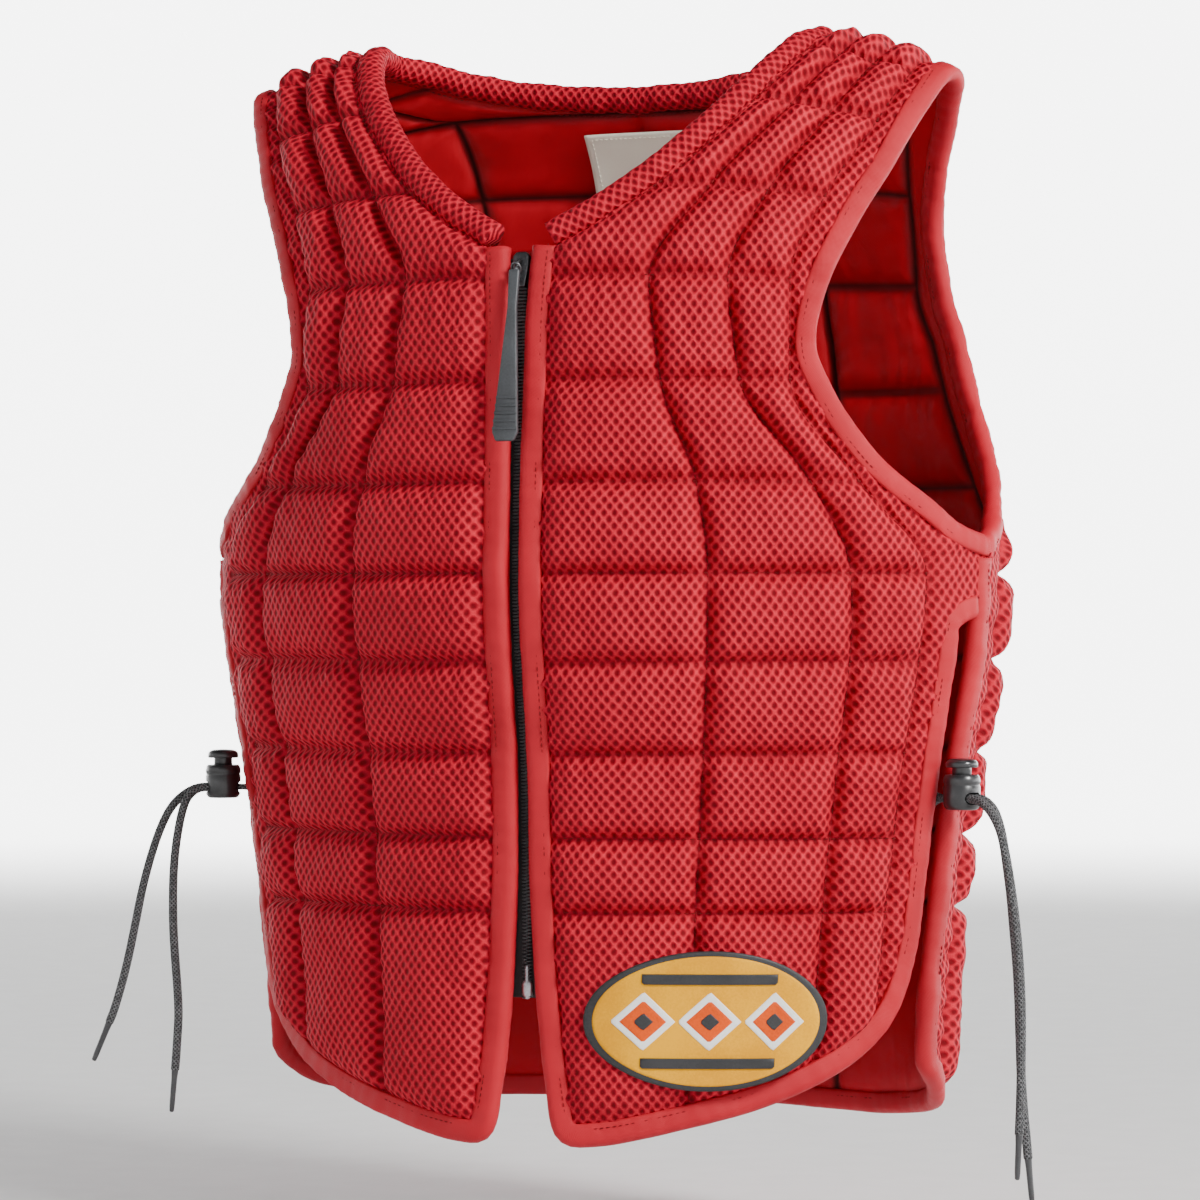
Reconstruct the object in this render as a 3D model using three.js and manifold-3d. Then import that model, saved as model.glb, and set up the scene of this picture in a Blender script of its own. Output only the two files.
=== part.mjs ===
// A padded body protector for riding, in the form it keeps when it is worn.
// Millimetres. +Z is up, the front faces -Y and the wearer's left is +X.
// The origin lies midway between the two shoulder lines, where the lining rests on the shoulders.

import * as THREE from 'three';
import Module from 'manifold-3d';
import { mergeVertices } from 'three/addons/utils/BufferGeometryUtils.js';

const wasm = await Module();
wasm.setup();

// Driving sizes of the worn form, measured on the lining
const LENGTH = 538; // shoulder line down to the tips of the front hem
const HALF_WIDTH = 200; // half the width inside, at the chest
const FRONT_DEPTH = 110; // origin to the lining in front, at the chest
const BACK_DEPTH = 100; // origin to the lining behind, at the chest
const SHOULDER_START = 150; // how far below the shoulder line the straps begin to lean back
const SHOULDER_SLOPE = 0.3; // fall of the shoulder line for each millimetre outwards
const SLOPE_START = 100; // distance from the middle at which the shoulder line begins to fall
const SLOPE_EASE = 24; // how softly it begins

// The padded wall
const PAD_WALL = 15; // through the middle of a block
const SEAM_WALL = 6.5; // through a seam between blocks, and at the edges
const BLOCK_RISE = 0.18; // share of a block over which its padding rises from the seam
const SEAM_GAP = 0.6; // between two panels where they are sewn together

// Bindings and the neck roll
const BINDING_WIDTH = 9;
const BINDING_THICKNESS = 9.5;
const NECK_ROLL_WIDTH = 13;
const NECK_ROLL_THICKNESS = 12;
const BINDING_GAP = 0.9; // between a panel's edge and its binding

// Zip
const ZIP_TAPE_WIDTH = 15;
const ZIP_TAPE_THICKNESS = 1.2;
const ZIP_DEPTH = 3.6; // of the tapes' middle, behind the lining's line
const ZIP_CHAIN_WIDTH = 5;
const ZIP_CHAIN_THICKNESS = 2.2;
const ZIP_TOP = 1.15; // station of the chain's upper end
const ZIP_BOTTOM = 0.165; // station of its lower end
const ZIP_CLEARANCE = 0.35;
const SLIDER_WIDTH = 8.4;
const SLIDER_LENGTH = 15;
const SLIDER_THICKNESS = 6;
const PULL_LENGTH = 84;
const PULL_TOP_WIDTH = 5.5;
const PULL_END_WIDTH = 13.5;
const PULL_THICKNESS = 2.6;
const PULL_STANDOFF = 12; // of the pull's middle, in front of the lining's line
const GUARD_WIDTH = 36;
const GUARD_THICKNESS = 1.6;
const GUARD_CLEARANCE = 0.6;

// Label and badge
const LABEL_WIDTH = 60;
const LABEL_HEIGHT = 54;
const LABEL_THICKNESS = 1;
const LABEL_CLEARANCE = 1.5;
const LABEL_STATION = 1.545; // of its upper edge, on the back
const BADGE_WIDTH = 112;
const BADGE_HEIGHT = 68;
const BADGE_THICKNESS = 2.8;
const BADGE_TURN = 34;
const BADGE_STATION = 0.142; // of its middle
const BADGE_CLEARANCE = 1.2;

// Cords and their locks
const CORD_DIAMETER = 4.4;
const CORD_SIDES = 8;
const LACING_DIAMETER = 3;
const LACING_DEPTH = 5.5; // of the lacing's middle, behind the lining's line
const LACING_CROSSINGS = 5;
const LACING_SPREAD = 2.1; // degrees to each side of the slit's middle
const LACING_SHIFT = 0.55; // the same, where a strand rests on a binding on its way out to the lock
const TIP_DIAMETER = 3;
const TIP_LENGTH = 22;
const TIP_CLEARANCE = 0.3;
const LOCK_RADIUS = 9;
const LOCK_HEIGHT = 17;
const LOCK_STATION = 0.415;
const LOCK_STANDOFF = 20; // of the lock's axis, outside the lining's line
const LOCK_SLOT_HEIGHT = 5.9;
const LOCK_SLOT_LENGTH = 10.4;
const LOCK_SLOT_LIFT = 5.6; // of the slot's middle, above the lock's foot
const LOCK_BORE_RADIUS = 5;
const LOCK_BORE_DEPTH = 7.6;
const BUTTON_RADIUS = 7.8;
const BUTTON_DOME = 4.4;
const BUTTON_TRAVEL = 3.2;
const BUTTON_CLEARANCE = 0.35;
const LOCK_SIDES = 12;

const DEGREE = Math.PI / 180;

// Shape of half the girth, from the middle of the front (0) to the middle of the back (180).
// width is a share of the half width, depth a share of the front depth (minus) or back depth (plus).
const GIRTH = [
  { turn: 0, width: 0, depth: -1 },
  { turn: 15, width: 0.23, depth: -0.94 },
  { turn: 30, width: 0.44, depth: -0.82 },
  { turn: 45, width: 0.635, depth: -0.65 },
  { turn: 60, width: 0.81, depth: -0.45 },
  { turn: 75, width: 0.945, depth: -0.22 },
  { turn: 90, width: 1, depth: 0.04 },
  { turn: 105, width: 0.97, depth: 0.32 },
  { turn: 120, width: 0.86, depth: 0.58 },
  { turn: 135, width: 0.68, depth: 0.78 },
  { turn: 150, width: 0.46, depth: 0.91 },
  { turn: 165, width: 0.23, depth: 0.98 },
  { turn: 180, width: 0, depth: 1 },
];

// A station is 0 at the tips of the hem, 1 where the straps begin to lean back and 2 on the shoulder line.
// width, front and back are shares of the half width, front depth and back depth.
const LEVELS = [
  { station: 0, width: 0.85, front: 0.9, back: 0.9 },
  { station: 0.144, width: 0.865, front: 0.88, back: 0.88 },
  { station: 0.412, width: 0.925, front: 0.89, back: 0.88 },
  { station: 0.687, width: 1, front: 1, back: 0.98 },
  { station: 1, width: 0.99, front: 0.95, back: 1 },
  { station: 1.5, width: 0.985, front: 0.93, back: 0.98 },
  { station: 2, width: 0.985, front: 0.9, back: 0.95 },
];

// Half the gap between the zip edges, as a share of the half width
const ZIP_GAP = [
  { station: 0, gap: 0.075 },
  { station: 0.092, gap: 0.048 },
  { station: 0.248, gap: 0.024 },
  { station: 0.374, gap: 0.0165 },
  { station: 0.791, gap: 0.016 },
  { station: 1.02, gap: 0.023 },
  { station: 1.165, gap: 0.032 },
];

// Edges of the padded panels, as turns in degrees
const FRONT_NECKLINE = [
  { station: 1.165, turn: 5.2 },
  { station: 1.247, turn: 15.5 },
  { station: 1.397, turn: 28 },
  { station: 1.58, turn: 37 },
  { station: 1.774, turn: 42 },
  { station: 2, turn: 44.5 },
  { station: 2.12, turn: 45 },
];
const FRONT_SIDE = [
  { station: 0, turn: 73.6 },
  { station: 0.635, turn: 73.6 },
  { station: 0.658, turn: 78 },
  { station: 0.671, turn: 86.2 },
  { station: 0.721, turn: 86.2 },
  { station: 0.734, turn: 77 },
  { station: 0.768, turn: 69 },
  { station: 0.83, turn: 57.5 },
  { station: 0.91, turn: 49.5 },
  { station: 0.977, turn: 46 },
  { station: 1.07, turn: 47.3 },
  { station: 1.253, turn: 53 },
  { station: 1.437, turn: 59.7 },
  { station: 1.6, turn: 64 },
  { station: 1.774, turn: 67.5 },
  { station: 2, turn: 70 },
  { station: 2.12, turn: 70.5 },
];
const BACK_SIDE = [
  { station: 0, turn: 86.6 },
  { station: 0.721, turn: 86.6 },
  { station: 0.734, turn: 92.5 },
  { station: 0.768, turn: 101 },
  { station: 0.83, turn: 110 },
  { station: 0.91, turn: 117.5 },
  { station: 0.977, turn: 122 },
  { station: 1.1, turn: 126.5 },
  { station: 1.253, turn: 128 },
  { station: 1.437, turn: 125.5 },
  { station: 1.6, turn: 121 },
  { station: 1.774, turn: 116.5 },
  { station: 1.88, turn: 114.6 },
];
const BACK_NECKLINE = [
  { station: 1.59, turn: 180 },
  { station: 1.6, turn: 170 },
  { station: 1.625, turn: 160 },
  { station: 1.67, turn: 151.5 },
  { station: 1.73, turn: 146 },
  { station: 1.8, turn: 142 },
  { station: 1.88, turn: 139.2 },
];

// Hems, as stations at each turn
const FRONT_HEM = [
  { turn: 0, station: 0 },
  { turn: 15, station: 0.01 },
  { turn: 30, station: 0.031 },
  { turn: 45, station: 0.057 },
  { turn: 58, station: 0.093 },
  { turn: 67, station: 0.135 },
  { turn: 71.5, station: 0.185 },
  { turn: 73.6, station: 0.245 },
];
const BACK_HEM = [
  { turn: 86.6, station: 0.085 },
  { turn: 91, station: 0.072 },
  { turn: 96, station: 0.058 },
  { turn: 104, station: 0.04 },
  { turn: 115, station: 0.025 },
  { turn: 135, station: 0.014 },
  { turn: 180, station: 0.02 },
];

// Lengthwise seams, as turns, between a panel's inner and outer edges
const FRONT_COLUMNS = [
  { station: 0, inner: 31, middle: 55, outer: 68.5 },
  { station: 0.274, inner: 31, middle: 55, outer: 68.5 },
  { station: 0.588, inner: 31, middle: 55.5, outer: 69 },
  { station: 0.696, inner: 31, middle: 55, outer: 69.5 },
  { station: 0.809, inner: 29, middle: 48, outer: 56.5 },
  { station: 0.935, inner: 23, middle: 36, outer: 44.5 },
  { station: 1.106, inner: 21, middle: 34, outer: 44.5 },
  { station: 1.3, inner: 30, middle: 40, outer: 50 },
  { station: 1.542, inner: 42, middle: 49.5, outer: 58.5 },
  { station: 1.8, inner: 48.5, middle: 55.5, outer: 64 },
  { station: 2.12, inner: 51, middle: 58.5, outer: 67 },
];
const BACK_COLUMNS = [
  { station: 0, inner: 141, outer: 96 },
  { station: 0.588, inner: 141, outer: 96 },
  { station: 0.696, inner: 142, outer: 98.5 },
  { station: 0.809, inner: 146, outer: 114 },
  { station: 0.935, inner: 148, outer: 124.5 },
  { station: 1.13, inner: 150, outer: 131 },
  { station: 1.36, inner: 149, outer: 131 },
  { station: 1.59, inner: 147, outer: 129 },
  { station: 1.6, inner: 145, outer: 128.8 },
  { station: 1.625, inner: 142, outer: 128 },
  { station: 1.67, inner: 138, outer: 126.3 },
  { station: 1.74, inner: 133.5, outer: 123.5 },
  { station: 1.88, inner: 127.5, outer: 118.8 },
];

// Stations of the crosswise seams, and of the rows that only give an edge its curve
const FRONT_ROWS = {
  seams: [0, 0.274, 0.366, 0.474, 0.588, 0.696, 0.809, 0.935, 1.106, 1.3, 1.542, 1.8, 2.12],
  curve: [0.635, 0.658, 0.671, 0.721, 0.734, 0.768, 1.165, 1.2],
};
const BACK_ROWS = {
  seams: [0, 0.274, 0.366, 0.474, 0.588, 0.696, 0.809, 0.935, 1.13, 1.36, 1.59, 1.74, 1.88],
  curve: [0.721, 0.734, 0.768, 1.6, 1.625, 1.67],
};
const SKIRT_SEAM = 0.274; // the lowest crosswise seam: the hem's curve eases out up to here
const FRONT_STRAP_END = 2.12;
const SIDE_SLIT_TOP = 0.635;
const SLIT_TURN = 80.2;

// Smooth value of a column at a place in a table, with no overshoot between its rows
function lookUp(table, place, column, at) {
  const last = table.length - 1;
  if (at <= table[0][place]) return table[0][column];
  if (at >= table[last][place]) return table[last][column];
  let row = 0;
  while (table[row + 1][place] < at) row += 1;
  const slopeAfter = (i) => (table[i + 1][column] - table[i][column]) / (table[i + 1][place] - table[i][place]);
  const slopeAt = (i) => {
    if (i === 0) return slopeAfter(0);
    if (i === last) return slopeAfter(last - 1);
    const before = slopeAfter(i - 1);
    const after = slopeAfter(i);
    return before * after <= 0 ? 0 : (2 * before * after) / (before + after);
  };
  const span = table[row + 1][place] - table[row][place];
  const t = (at - table[row][place]) / span;
  const [from, to] = [table[row][column], table[row + 1][column]];
  const [leave, arrive] = [slopeAt(row) * span, slopeAt(row + 1) * span];
  return from + t * (leave + t * (3 * (to - from) - 2 * leave - arrive + t * (leave + arrive - 2 * (to - from))));
}

// The turn, in front or behind, at which the girth is a share of its half width
function turnAtWidth(share, behind) {
  let [low, high] = behind ? [180, 90] : [0, 90];
  for (let i = 0; i < 40; i += 1) {
    const middle = (low + high) / 2;
    if (lookUp(GIRTH, 'turn', 'width', middle) < share) low = middle;
    else high = middle;
  }
  return (low + high) / 2;
}

// A point of the lining on the wearer's left. Past station 2 it lies behind the shoulder line.
function liningPoint(turn, station) {
  const width = lookUp(GIRTH, 'turn', 'width', turn);
  if (station > 2) return liningPoint(turnAtWidth(width, true), 4 - station);
  const depth = lookUp(GIRTH, 'turn', 'depth', turn);
  const x = HALF_WIDTH * lookUp(LEVELS, 'station', 'width', station) * width;
  const reach = depth < 0
    ? FRONT_DEPTH * lookUp(LEVELS, 'station', 'front', station)
    : BACK_DEPTH * lookUp(LEVELS, 'station', 'back', station);
  const lean = Math.max(0, station - 1) * 90 * DEGREE;
  const past = x - SLOPE_START;
  const fall = (SHOULDER_SLOPE * (Math.hypot(past, SLOPE_EASE) + past)) / 2;
  const z = station < 1
    ? -LENGTH + station * (LENGTH - SHOULDER_START)
    : -SHOULDER_START + (SHOULDER_START - fall) * Math.sin(lean);
  return new THREE.Vector3(x, reach * depth * Math.cos(lean), z);
}

// Outward direction of the wall there
function wallNormal(turn, station) {
  const step = 0.4;
  const low = Math.max(0, turn - step);
  const high = Math.min(180, turn + step);
  const along = liningPoint(high, station).sub(liningPoint(low, station));
  const up = liningPoint(turn, station + step / 40).sub(liningPoint(turn, station - step / 40));
  const normal = along.cross(up).normalize();
  if (turn === 0 || turn === 180) normal.setX(0).normalize();
  return normal;
}

// A point at a distance outside the lining
function wallPoint(turn, station, offset) {
  return liningPoint(turn, station).addScaledVector(wallNormal(turn, station), offset);
}

// A point near the zip, by its distance from the middle
function zipPoint(x, station, offset) {
  const halfWidth = HALF_WIDTH * lookUp(LEVELS, 'station', 'width', station);
  const point = wallPoint(turnAtWidth(Math.abs(x) / halfWidth, false), station, offset);
  return point.setX(x);
}

// A closed geometry from points and triangles
function closedGeometry(points, triangles) {
  const geometry = new THREE.BufferGeometry();
  geometry.setAttribute('position', new THREE.Float32BufferAttribute(points.flatMap((p) => [p.x, p.y, p.z]), 3));
  geometry.setIndex(triangles.flat());
  return geometry;
}

// Mirrors a geometry to the wearer's right
function mirrored(geometry) {
  const copy = geometry.clone().scale(-1, 1, 1);
  const index = copy.getIndex();
  for (let i = 0; i < index.count; i += 3) {
    const [b, c] = [index.getX(i + 1), index.getX(i + 2)];
    index.setX(i + 1, c);
    index.setX(i + 2, b);
  }
  return copy;
}

// Skins rings of points, each turning the same way. The ends are capped, or joined to each other.
function loft(rings, joined = false) {
  const size = rings[0].length;
  const triangles = [];
  const spans = joined ? rings.length : rings.length - 1;
  for (let i = 0; i < spans; i += 1) {
    const here = i * size;
    const next = ((i + 1) % rings.length) * size;
    for (let j = 0; j < size; j += 1) {
      const k = (j + 1) % size;
      triangles.push([here + j, here + k, next + k], [here + j, next + k, next + j]);
    }
  }
  if (!joined) {
    const end = (rings.length - 1) * size;
    for (let j = 1; j < size - 1; j += 1) {
      triangles.push([0, j + 1, j], [end, end + j, end + j + 1]);
    }
  }
  return outward(closedGeometry(rings.flat(), triangles));
}

// Turns a closed geometry's faces to point out
function outward(geometry) {
  const position = geometry.getAttribute('position');
  const index = geometry.getIndex();
  const [a, b, c] = [new THREE.Vector3(), new THREE.Vector3(), new THREE.Vector3()];
  let volume = 0;
  for (let i = 0; i < index.count; i += 3) {
    a.fromBufferAttribute(position, index.getX(i));
    b.fromBufferAttribute(position, index.getX(i + 1));
    c.fromBufferAttribute(position, index.getX(i + 2));
    volume += a.dot(b.cross(c));
  }
  if (volume > 0) return geometry;
  for (let i = 0; i < index.count; i += 3) {
    const [second, third] = [index.getX(i + 1), index.getX(i + 2)];
    index.setX(i + 1, third);
    index.setX(i + 2, second);
  }
  return geometry;
}

// Height of a block's padding at a share of the way across it, from 0 at a seam to 1
function padProfile(share) {
  const rise = Math.min(1, Math.min(share, 1 - share) / BLOCK_RISE);
  return rise * rise * (3 - 2 * rise);
}

// All rows of a panel: its seams, the rises beside them and the rows that shape its edges
function panelRows({ seams, curve }, from, to) {
  const rows = [];
  for (let i = 0; i < seams.length - 1; i += 1) {
    const span = seams[i + 1] - seams[i];
    const own = [seams[i], seams[i] + BLOCK_RISE * span, seams[i + 1] - BLOCK_RISE * span];
    for (const station of own) rows.push({ station, profile: padProfile((station - seams[i]) / span) });
  }
  rows.push({ station: seams.at(-1), profile: 0 });
  const closest = 0.007;
  for (const station of curve) {
    const clash = rows.findIndex((row) => Math.abs(row.station - station) < closest);
    const block = seams.findLastIndex((seam) => seam <= station);
    const share = (station - seams[block]) / (seams[block + 1] - seams[block]);
    if (clash >= 0 && !seams.includes(rows[clash].station)) rows[clash] = { station, profile: padProfile(share) };
    if (clash < 0) rows.push({ station, profile: padProfile(share) });
  }
  return rows.filter((row) => row.station >= from && row.station <= to).sort((p, q) => p.station - q.station);
}

// The panel's columns at a station, from its inner edge to its outer edge
function panelColumns(inner, table, outer, station) {
  const names = Object.keys(table[0]).filter((name) => name !== 'station');
  const seams = [inner, ...names.map((name) => lookUp(table, 'station', name, station))];
  const columns = [];
  for (let i = 0; i < seams.length - 1; i += 1) {
    for (const share of [0, BLOCK_RISE, 1 - BLOCK_RISE]) {
      columns.push({ turn: seams[i] + share * (seams[i + 1] - seams[i]), profile: padProfile(share) });
    }
  }
  columns.push({ turn: seams.at(-1), profile: 0 }, { turn: outer, profile: 0 });
  return columns;
}

// A grid of a panel's wall on the wearer's left: rows of points with an outer and an inner place
function panelGrid(rows, innerEdge, columnTable, outerEdge, hem) {
  return rows.map(({ station, profile }) => {
    const columns = panelColumns(innerEdge(station), columnTable, outerEdge(station), station);
    return columns.map((column) => {
      const lowest = lookUp(hem, 'turn', 'station', column.turn);
      const low = Math.max(0, 1 - station / SKIRT_SEAM);
      const at = station + lowest * low;
      const wall = SEAM_WALL + (PAD_WALL - SEAM_WALL) * Math.min(profile, 1) * column.profile;
      const swell = (wall - SEAM_WALL) / 4;
      return {
        turn: column.turn,
        station: at,
        outer: wallPoint(column.turn, at, wall - swell),
        inner: wallPoint(column.turn, at, -swell),
      };
    });
  });
}

// A closed panel from grids whose shared points are welded: an outer face, an inner face and the edges between
function panelGeometry(grids) {
  const outers = [];
  const inners = [];
  const places = new Map();
  const weld = (node) => {
    const key = node.outer.toArray().map((value) => value.toFixed(3)).join();
    if (!places.has(key)) {
      places.set(key, outers.length);
      outers.push(node.outer);
      inners.push(node.inner);
    }
    return places.get(key);
  };
  const faces = [];
  for (const grid of grids) {
    for (let i = 0; i < grid.length - 1; i += 1) {
      for (let j = 0; j < grid[i].length - 1; j += 1) {
        const [a, b, c, d] = [grid[i][j], grid[i][j + 1], grid[i + 1][j + 1], grid[i + 1][j]].map(weld);
        for (const face of [[a, b, c], [a, c, d]]) {
          if (new Set(face).size === 3) faces.push(grid.flipped ? [face[0], face[2], face[1]] : face);
        }
      }
    }
  }
  const count = outers.length;
  const edges = new Set(faces.flatMap(([a, b, c]) => [`${a},${b}`, `${b},${c}`, `${c},${a}`]));
  const triangles = faces.flatMap(([a, b, c]) => [[a, b, c], [a + count, c + count, b + count]]);
  for (const edge of edges) {
    const [a, b] = edge.split(',').map(Number);
    if (!edges.has(`${b},${a}`)) triangles.push([b, a, a + count], [b, a + count, b + count]);
  }
  return outward(closedGeometry([...outers, ...inners], triangles));
}

// The wearer's right copy of a grid
function mirroredGrid(grid) {
  const flip = (point) => new THREE.Vector3(-point.x, point.y, point.z);
  const copy = grid.map((row) => row.map((node) => ({ ...node, outer: flip(node.outer), inner: flip(node.inner) })));
  copy.flipped = true;
  return copy;
}

// A binding along edge nodes. Each comes with a hint: a direction roughly out of the panel.
function bindingGeometry(edge, width, thickness, joined = false) {
  const middles = edge.map(({ node }) => node.outer.clone().add(node.inner).multiplyScalar(0.5));
  const count = edge.length;
  const rings = edge.map(({ node, hint }, i) => {
    const before = middles[joined ? (i - 1 + count) % count : Math.max(0, i - 1)];
    const after = middles[joined ? (i + 1) % count : Math.min(count - 1, i + 1)];
    const thick = node.outer.clone().sub(node.inner).normalize();
    const sideOf = (from, to) => {
      const side = thick.clone().cross(to.clone().sub(from));
      if (side.lengthSq() < 1e-9) return side;
      side.normalize();
      return side.dot(hint) < 0 ? side.negate() : side;
    };
    const first = sideOf(before, middles[i]);
    const second = sideOf(middles[i], after);
    const out = first.clone().add(second);
    out.normalize();
    const reference = first.lengthSq() > 0.5 ? first : second;
    const mitre = 1 / Math.max(0.62, out.dot(reference));
    const place = (far, high) => middles[i].clone()
      .addScaledVector(out, far * mitre)
      .addScaledVector(thick, high * thickness / 2);
    return [place(BINDING_GAP, 1), place(width, 0.62), place(width, -0.62), place(BINDING_GAP, -1)];
  });
  return loft(rings, joined);
}

// The edge nodes of a grid's rows or of its hem, each with a direction away from the nodes within the panel
const outOf = (node, within) => ({ node, hint: node.outer.clone().sub(within.outer) });
const withinRow = (rows, i) => rows[Math.min(i + 1, rows.length - 1)];
const innerEdgeOf = (rows) => rows.map((row, i) => outOf(row[0], withinRow(rows, i)[1]));
const outerEdgeOf = (rows) => rows.map((row, i) => outOf(row.at(-1), withinRow(rows, i).at(-2)));
const hemEdgeOf = (grid) => grid[0].map((node, j) => outOf(node, grid[1][j]));

// A flat strip that follows the wall, from rings at given stations
function stripGeometry(stations, sectionAt) {
  return loft(stations.map(sectionAt));
}

// Evenly spaced values, both ends included
function spread(from, to, count) {
  return Array.from({ length: count + 1 }, (_, i) => from + ((to - from) * i) / count);
}

function circleShape(radius, sides) {
  const shape = new THREE.Shape();
  for (let i = 0; i < sides; i += 1) {
    const angle = (i * 2 * Math.PI) / sides;
    if (i === 0) shape.moveTo(radius, 0);
    else shape.lineTo(radius * Math.cos(angle), radius * Math.sin(angle));
  }
  shape.closePath();
  return shape;
}

// Removes everything but merged positions, so that a geometry is one closed mesh
function welded(geometry) {
  const copy = geometry.clone();
  copy.deleteAttribute('normal');
  copy.deleteAttribute('uv');
  return mergeVertices(copy, 1e-4);
}

// A tube through points
function tubeGeometry(points, diameter, steps) {
  const curve = new THREE.CatmullRomCurve3(points, false, 'centripetal');
  const shape = circleShape(diameter / 2, CORD_SIDES);
  return welded(new THREE.ExtrudeGeometry(shape, { steps, bevelEnabled: false, extrudePath: curve }));
}

function toManifold(geometry) {
  const mesh = welded(geometry);
  const positions = mesh.getAttribute('position').array;
  return new wasm.Manifold(new wasm.Mesh({
    numProp: 3,
    vertProperties: Float32Array.from(positions),
    triVerts: Uint32Array.from(mesh.getIndex().array),
  }));
}

function fromManifold(solid) {
  const mesh = solid.getMesh();
  const geometry = new THREE.BufferGeometry();
  geometry.setAttribute('position', new THREE.BufferAttribute(new Float32Array(mesh.vertProperties), 3));
  geometry.setIndex(Array.from(mesh.triVerts));
  return geometry;
}

const COLORS = {
  mesh: { color: 0xb3121c, roughness: 0.8 },
  binding: { color: 0xc8222a, roughness: 0.65 },
  zip: { color: 0x17171a, roughness: 0.5 },
  metal: { color: 0x3a3a3e, roughness: 0.35, metalness: 0.9 },
  pull: { color: 0x2c2d30, roughness: 0.6 },
  label: { color: 0xe6e0cc, roughness: 0.9 },
  badge: { color: 0xf0bc14, roughness: 0.45 },
  lock: { color: 0x101113, roughness: 0.35 },
  cord: { color: 0x2a2c2f, roughness: 0.75 },
  guard: { color: 0xa01018, roughness: 0.7 },
};

const vest = new THREE.Group();

function addPiece(parent, name, geometry, finish) {
  const mesh = new THREE.Mesh(geometry, new THREE.MeshStandardMaterial({ metalness: 0, ...COLORS[finish] }));
  mesh.name = name;
  parent.add(mesh);
  return mesh;
}

// The two front halves and the back, with their bindings
function innerTurnOfFront(station) {
  const vStation = FRONT_NECKLINE[0].station;
  if (station > vStation) return lookUp(FRONT_NECKLINE, 'station', 'turn', station);
  const gap = HALF_WIDTH * lookUp(ZIP_GAP, 'station', 'gap', station) + BINDING_WIDTH;
  return turnAtWidth(gap / (HALF_WIDTH * lookUp(LEVELS, 'station', 'width', station)), false);
}

function innerTurnOfBack(station) {
  return station < BACK_NECKLINE[0].station ? 180 : lookUp(BACK_NECKLINE, 'station', 'turn', station);
}

// Both straps end at one seam behind the shoulder line, so the back's last row takes the front's edges
function seamTurnsOfBack() {
  const widthAt = (turn) => lookUp(GIRTH, 'turn', 'width', turn);
  const strapInner = lookUp(FRONT_NECKLINE, 'station', 'turn', FRONT_STRAP_END);
  const strapOuter = lookUp(FRONT_SIDE, 'station', 'turn', FRONT_STRAP_END);
  return { inner: turnAtWidth(widthAt(strapInner), true), outer: turnAtWidth(widthAt(strapOuter), true) };
}

const strapSeam = seamTurnsOfBack();
BACK_NECKLINE.at(-1).turn = strapSeam.inner;
BACK_SIDE.at(-1).turn = strapSeam.outer;

const seamStations = SEAM_GAP / (SHOULDER_START * 90 * DEGREE);
const frontRows = panelRows(FRONT_ROWS, 0, FRONT_STRAP_END);
const backRows = panelRows(BACK_ROWS, 0, 2);
backRows.at(-1).station -= seamStations;

const frontGrid = panelGrid(
  frontRows,
  innerTurnOfFront,
  FRONT_COLUMNS,
  (station) => lookUp(FRONT_SIDE, 'station', 'turn', station),
  FRONT_HEM,
);
const backGrid = panelGrid(
  backRows,
  innerTurnOfBack,
  BACK_COLUMNS,
  (station) => lookUp(BACK_SIDE, 'station', 'turn', station),
  BACK_HEM,
);

const frontGeometry = panelGeometry([frontGrid]);
addPiece(vest, 'front_left', frontGeometry, 'mesh');
addPiece(vest, 'front_right', mirrored(frontGeometry), 'mesh');
addPiece(vest, 'back_panel', panelGeometry([backGrid, mirroredGrid(backGrid)]), 'mesh');

// Rows of a grid between two stations
const rowsBetween = (grid, rows, from, to) => grid.filter((_, i) => rows[i].station >= from && rows[i].station <= to);

const vStation = FRONT_NECKLINE[0].station;
const armholeBottom = 0.721;

const armholeMiddle = new THREE.Vector3(HALF_WIDTH, 0, -SHOULDER_START);
const armholeEdge = [
  ...outerEdgeOf(rowsBetween(frontGrid, frontRows, armholeBottom, 3)),
  ...outerEdgeOf(rowsBetween(backGrid, backRows, armholeBottom, 3)).slice(1, -1).reverse(),
].map(({ node }) => ({ node, hint: armholeMiddle.clone().sub(node.outer) }));
const armholeBinding = bindingGeometry(armholeEdge, BINDING_WIDTH, BINDING_THICKNESS, true);
addPiece(vest, 'armhole_binding_left', armholeBinding, 'binding');
addPiece(vest, 'armhole_binding_right', mirrored(armholeBinding), 'binding');

const neckMiddle = new THREE.Vector3(0, 0, NECK_ROLL_WIDTH * 2);
const frontNeck = innerEdgeOf(rowsBetween(frontGrid, frontRows, vStation + 0.03, 3));
const backNeck = innerEdgeOf(rowsBetween(backGrid, backRows, BACK_NECKLINE[0].station, 3));
const neckHalf = [
  ...frontNeck.slice(0, -2),
  frontNeck.at(-1),
  ...backNeck.slice(0, -2).reverse(),
].map(({ node }) => ({ node, hint: neckMiddle.clone().sub(node.outer) }));
const flipEdge = (edge) => edge.map(({ node, hint }) => ({
  node: mirroredGrid([[node]])[0][0],
  hint: new THREE.Vector3(-hint.x, hint.y, hint.z),
}));
const neckEdge = [...neckHalf, ...flipEdge(neckHalf).reverse().slice(1)];
addPiece(vest, 'neck_roll', bindingGeometry(neckEdge, NECK_ROLL_WIDTH, NECK_ROLL_THICKNESS), 'mesh');

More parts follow.
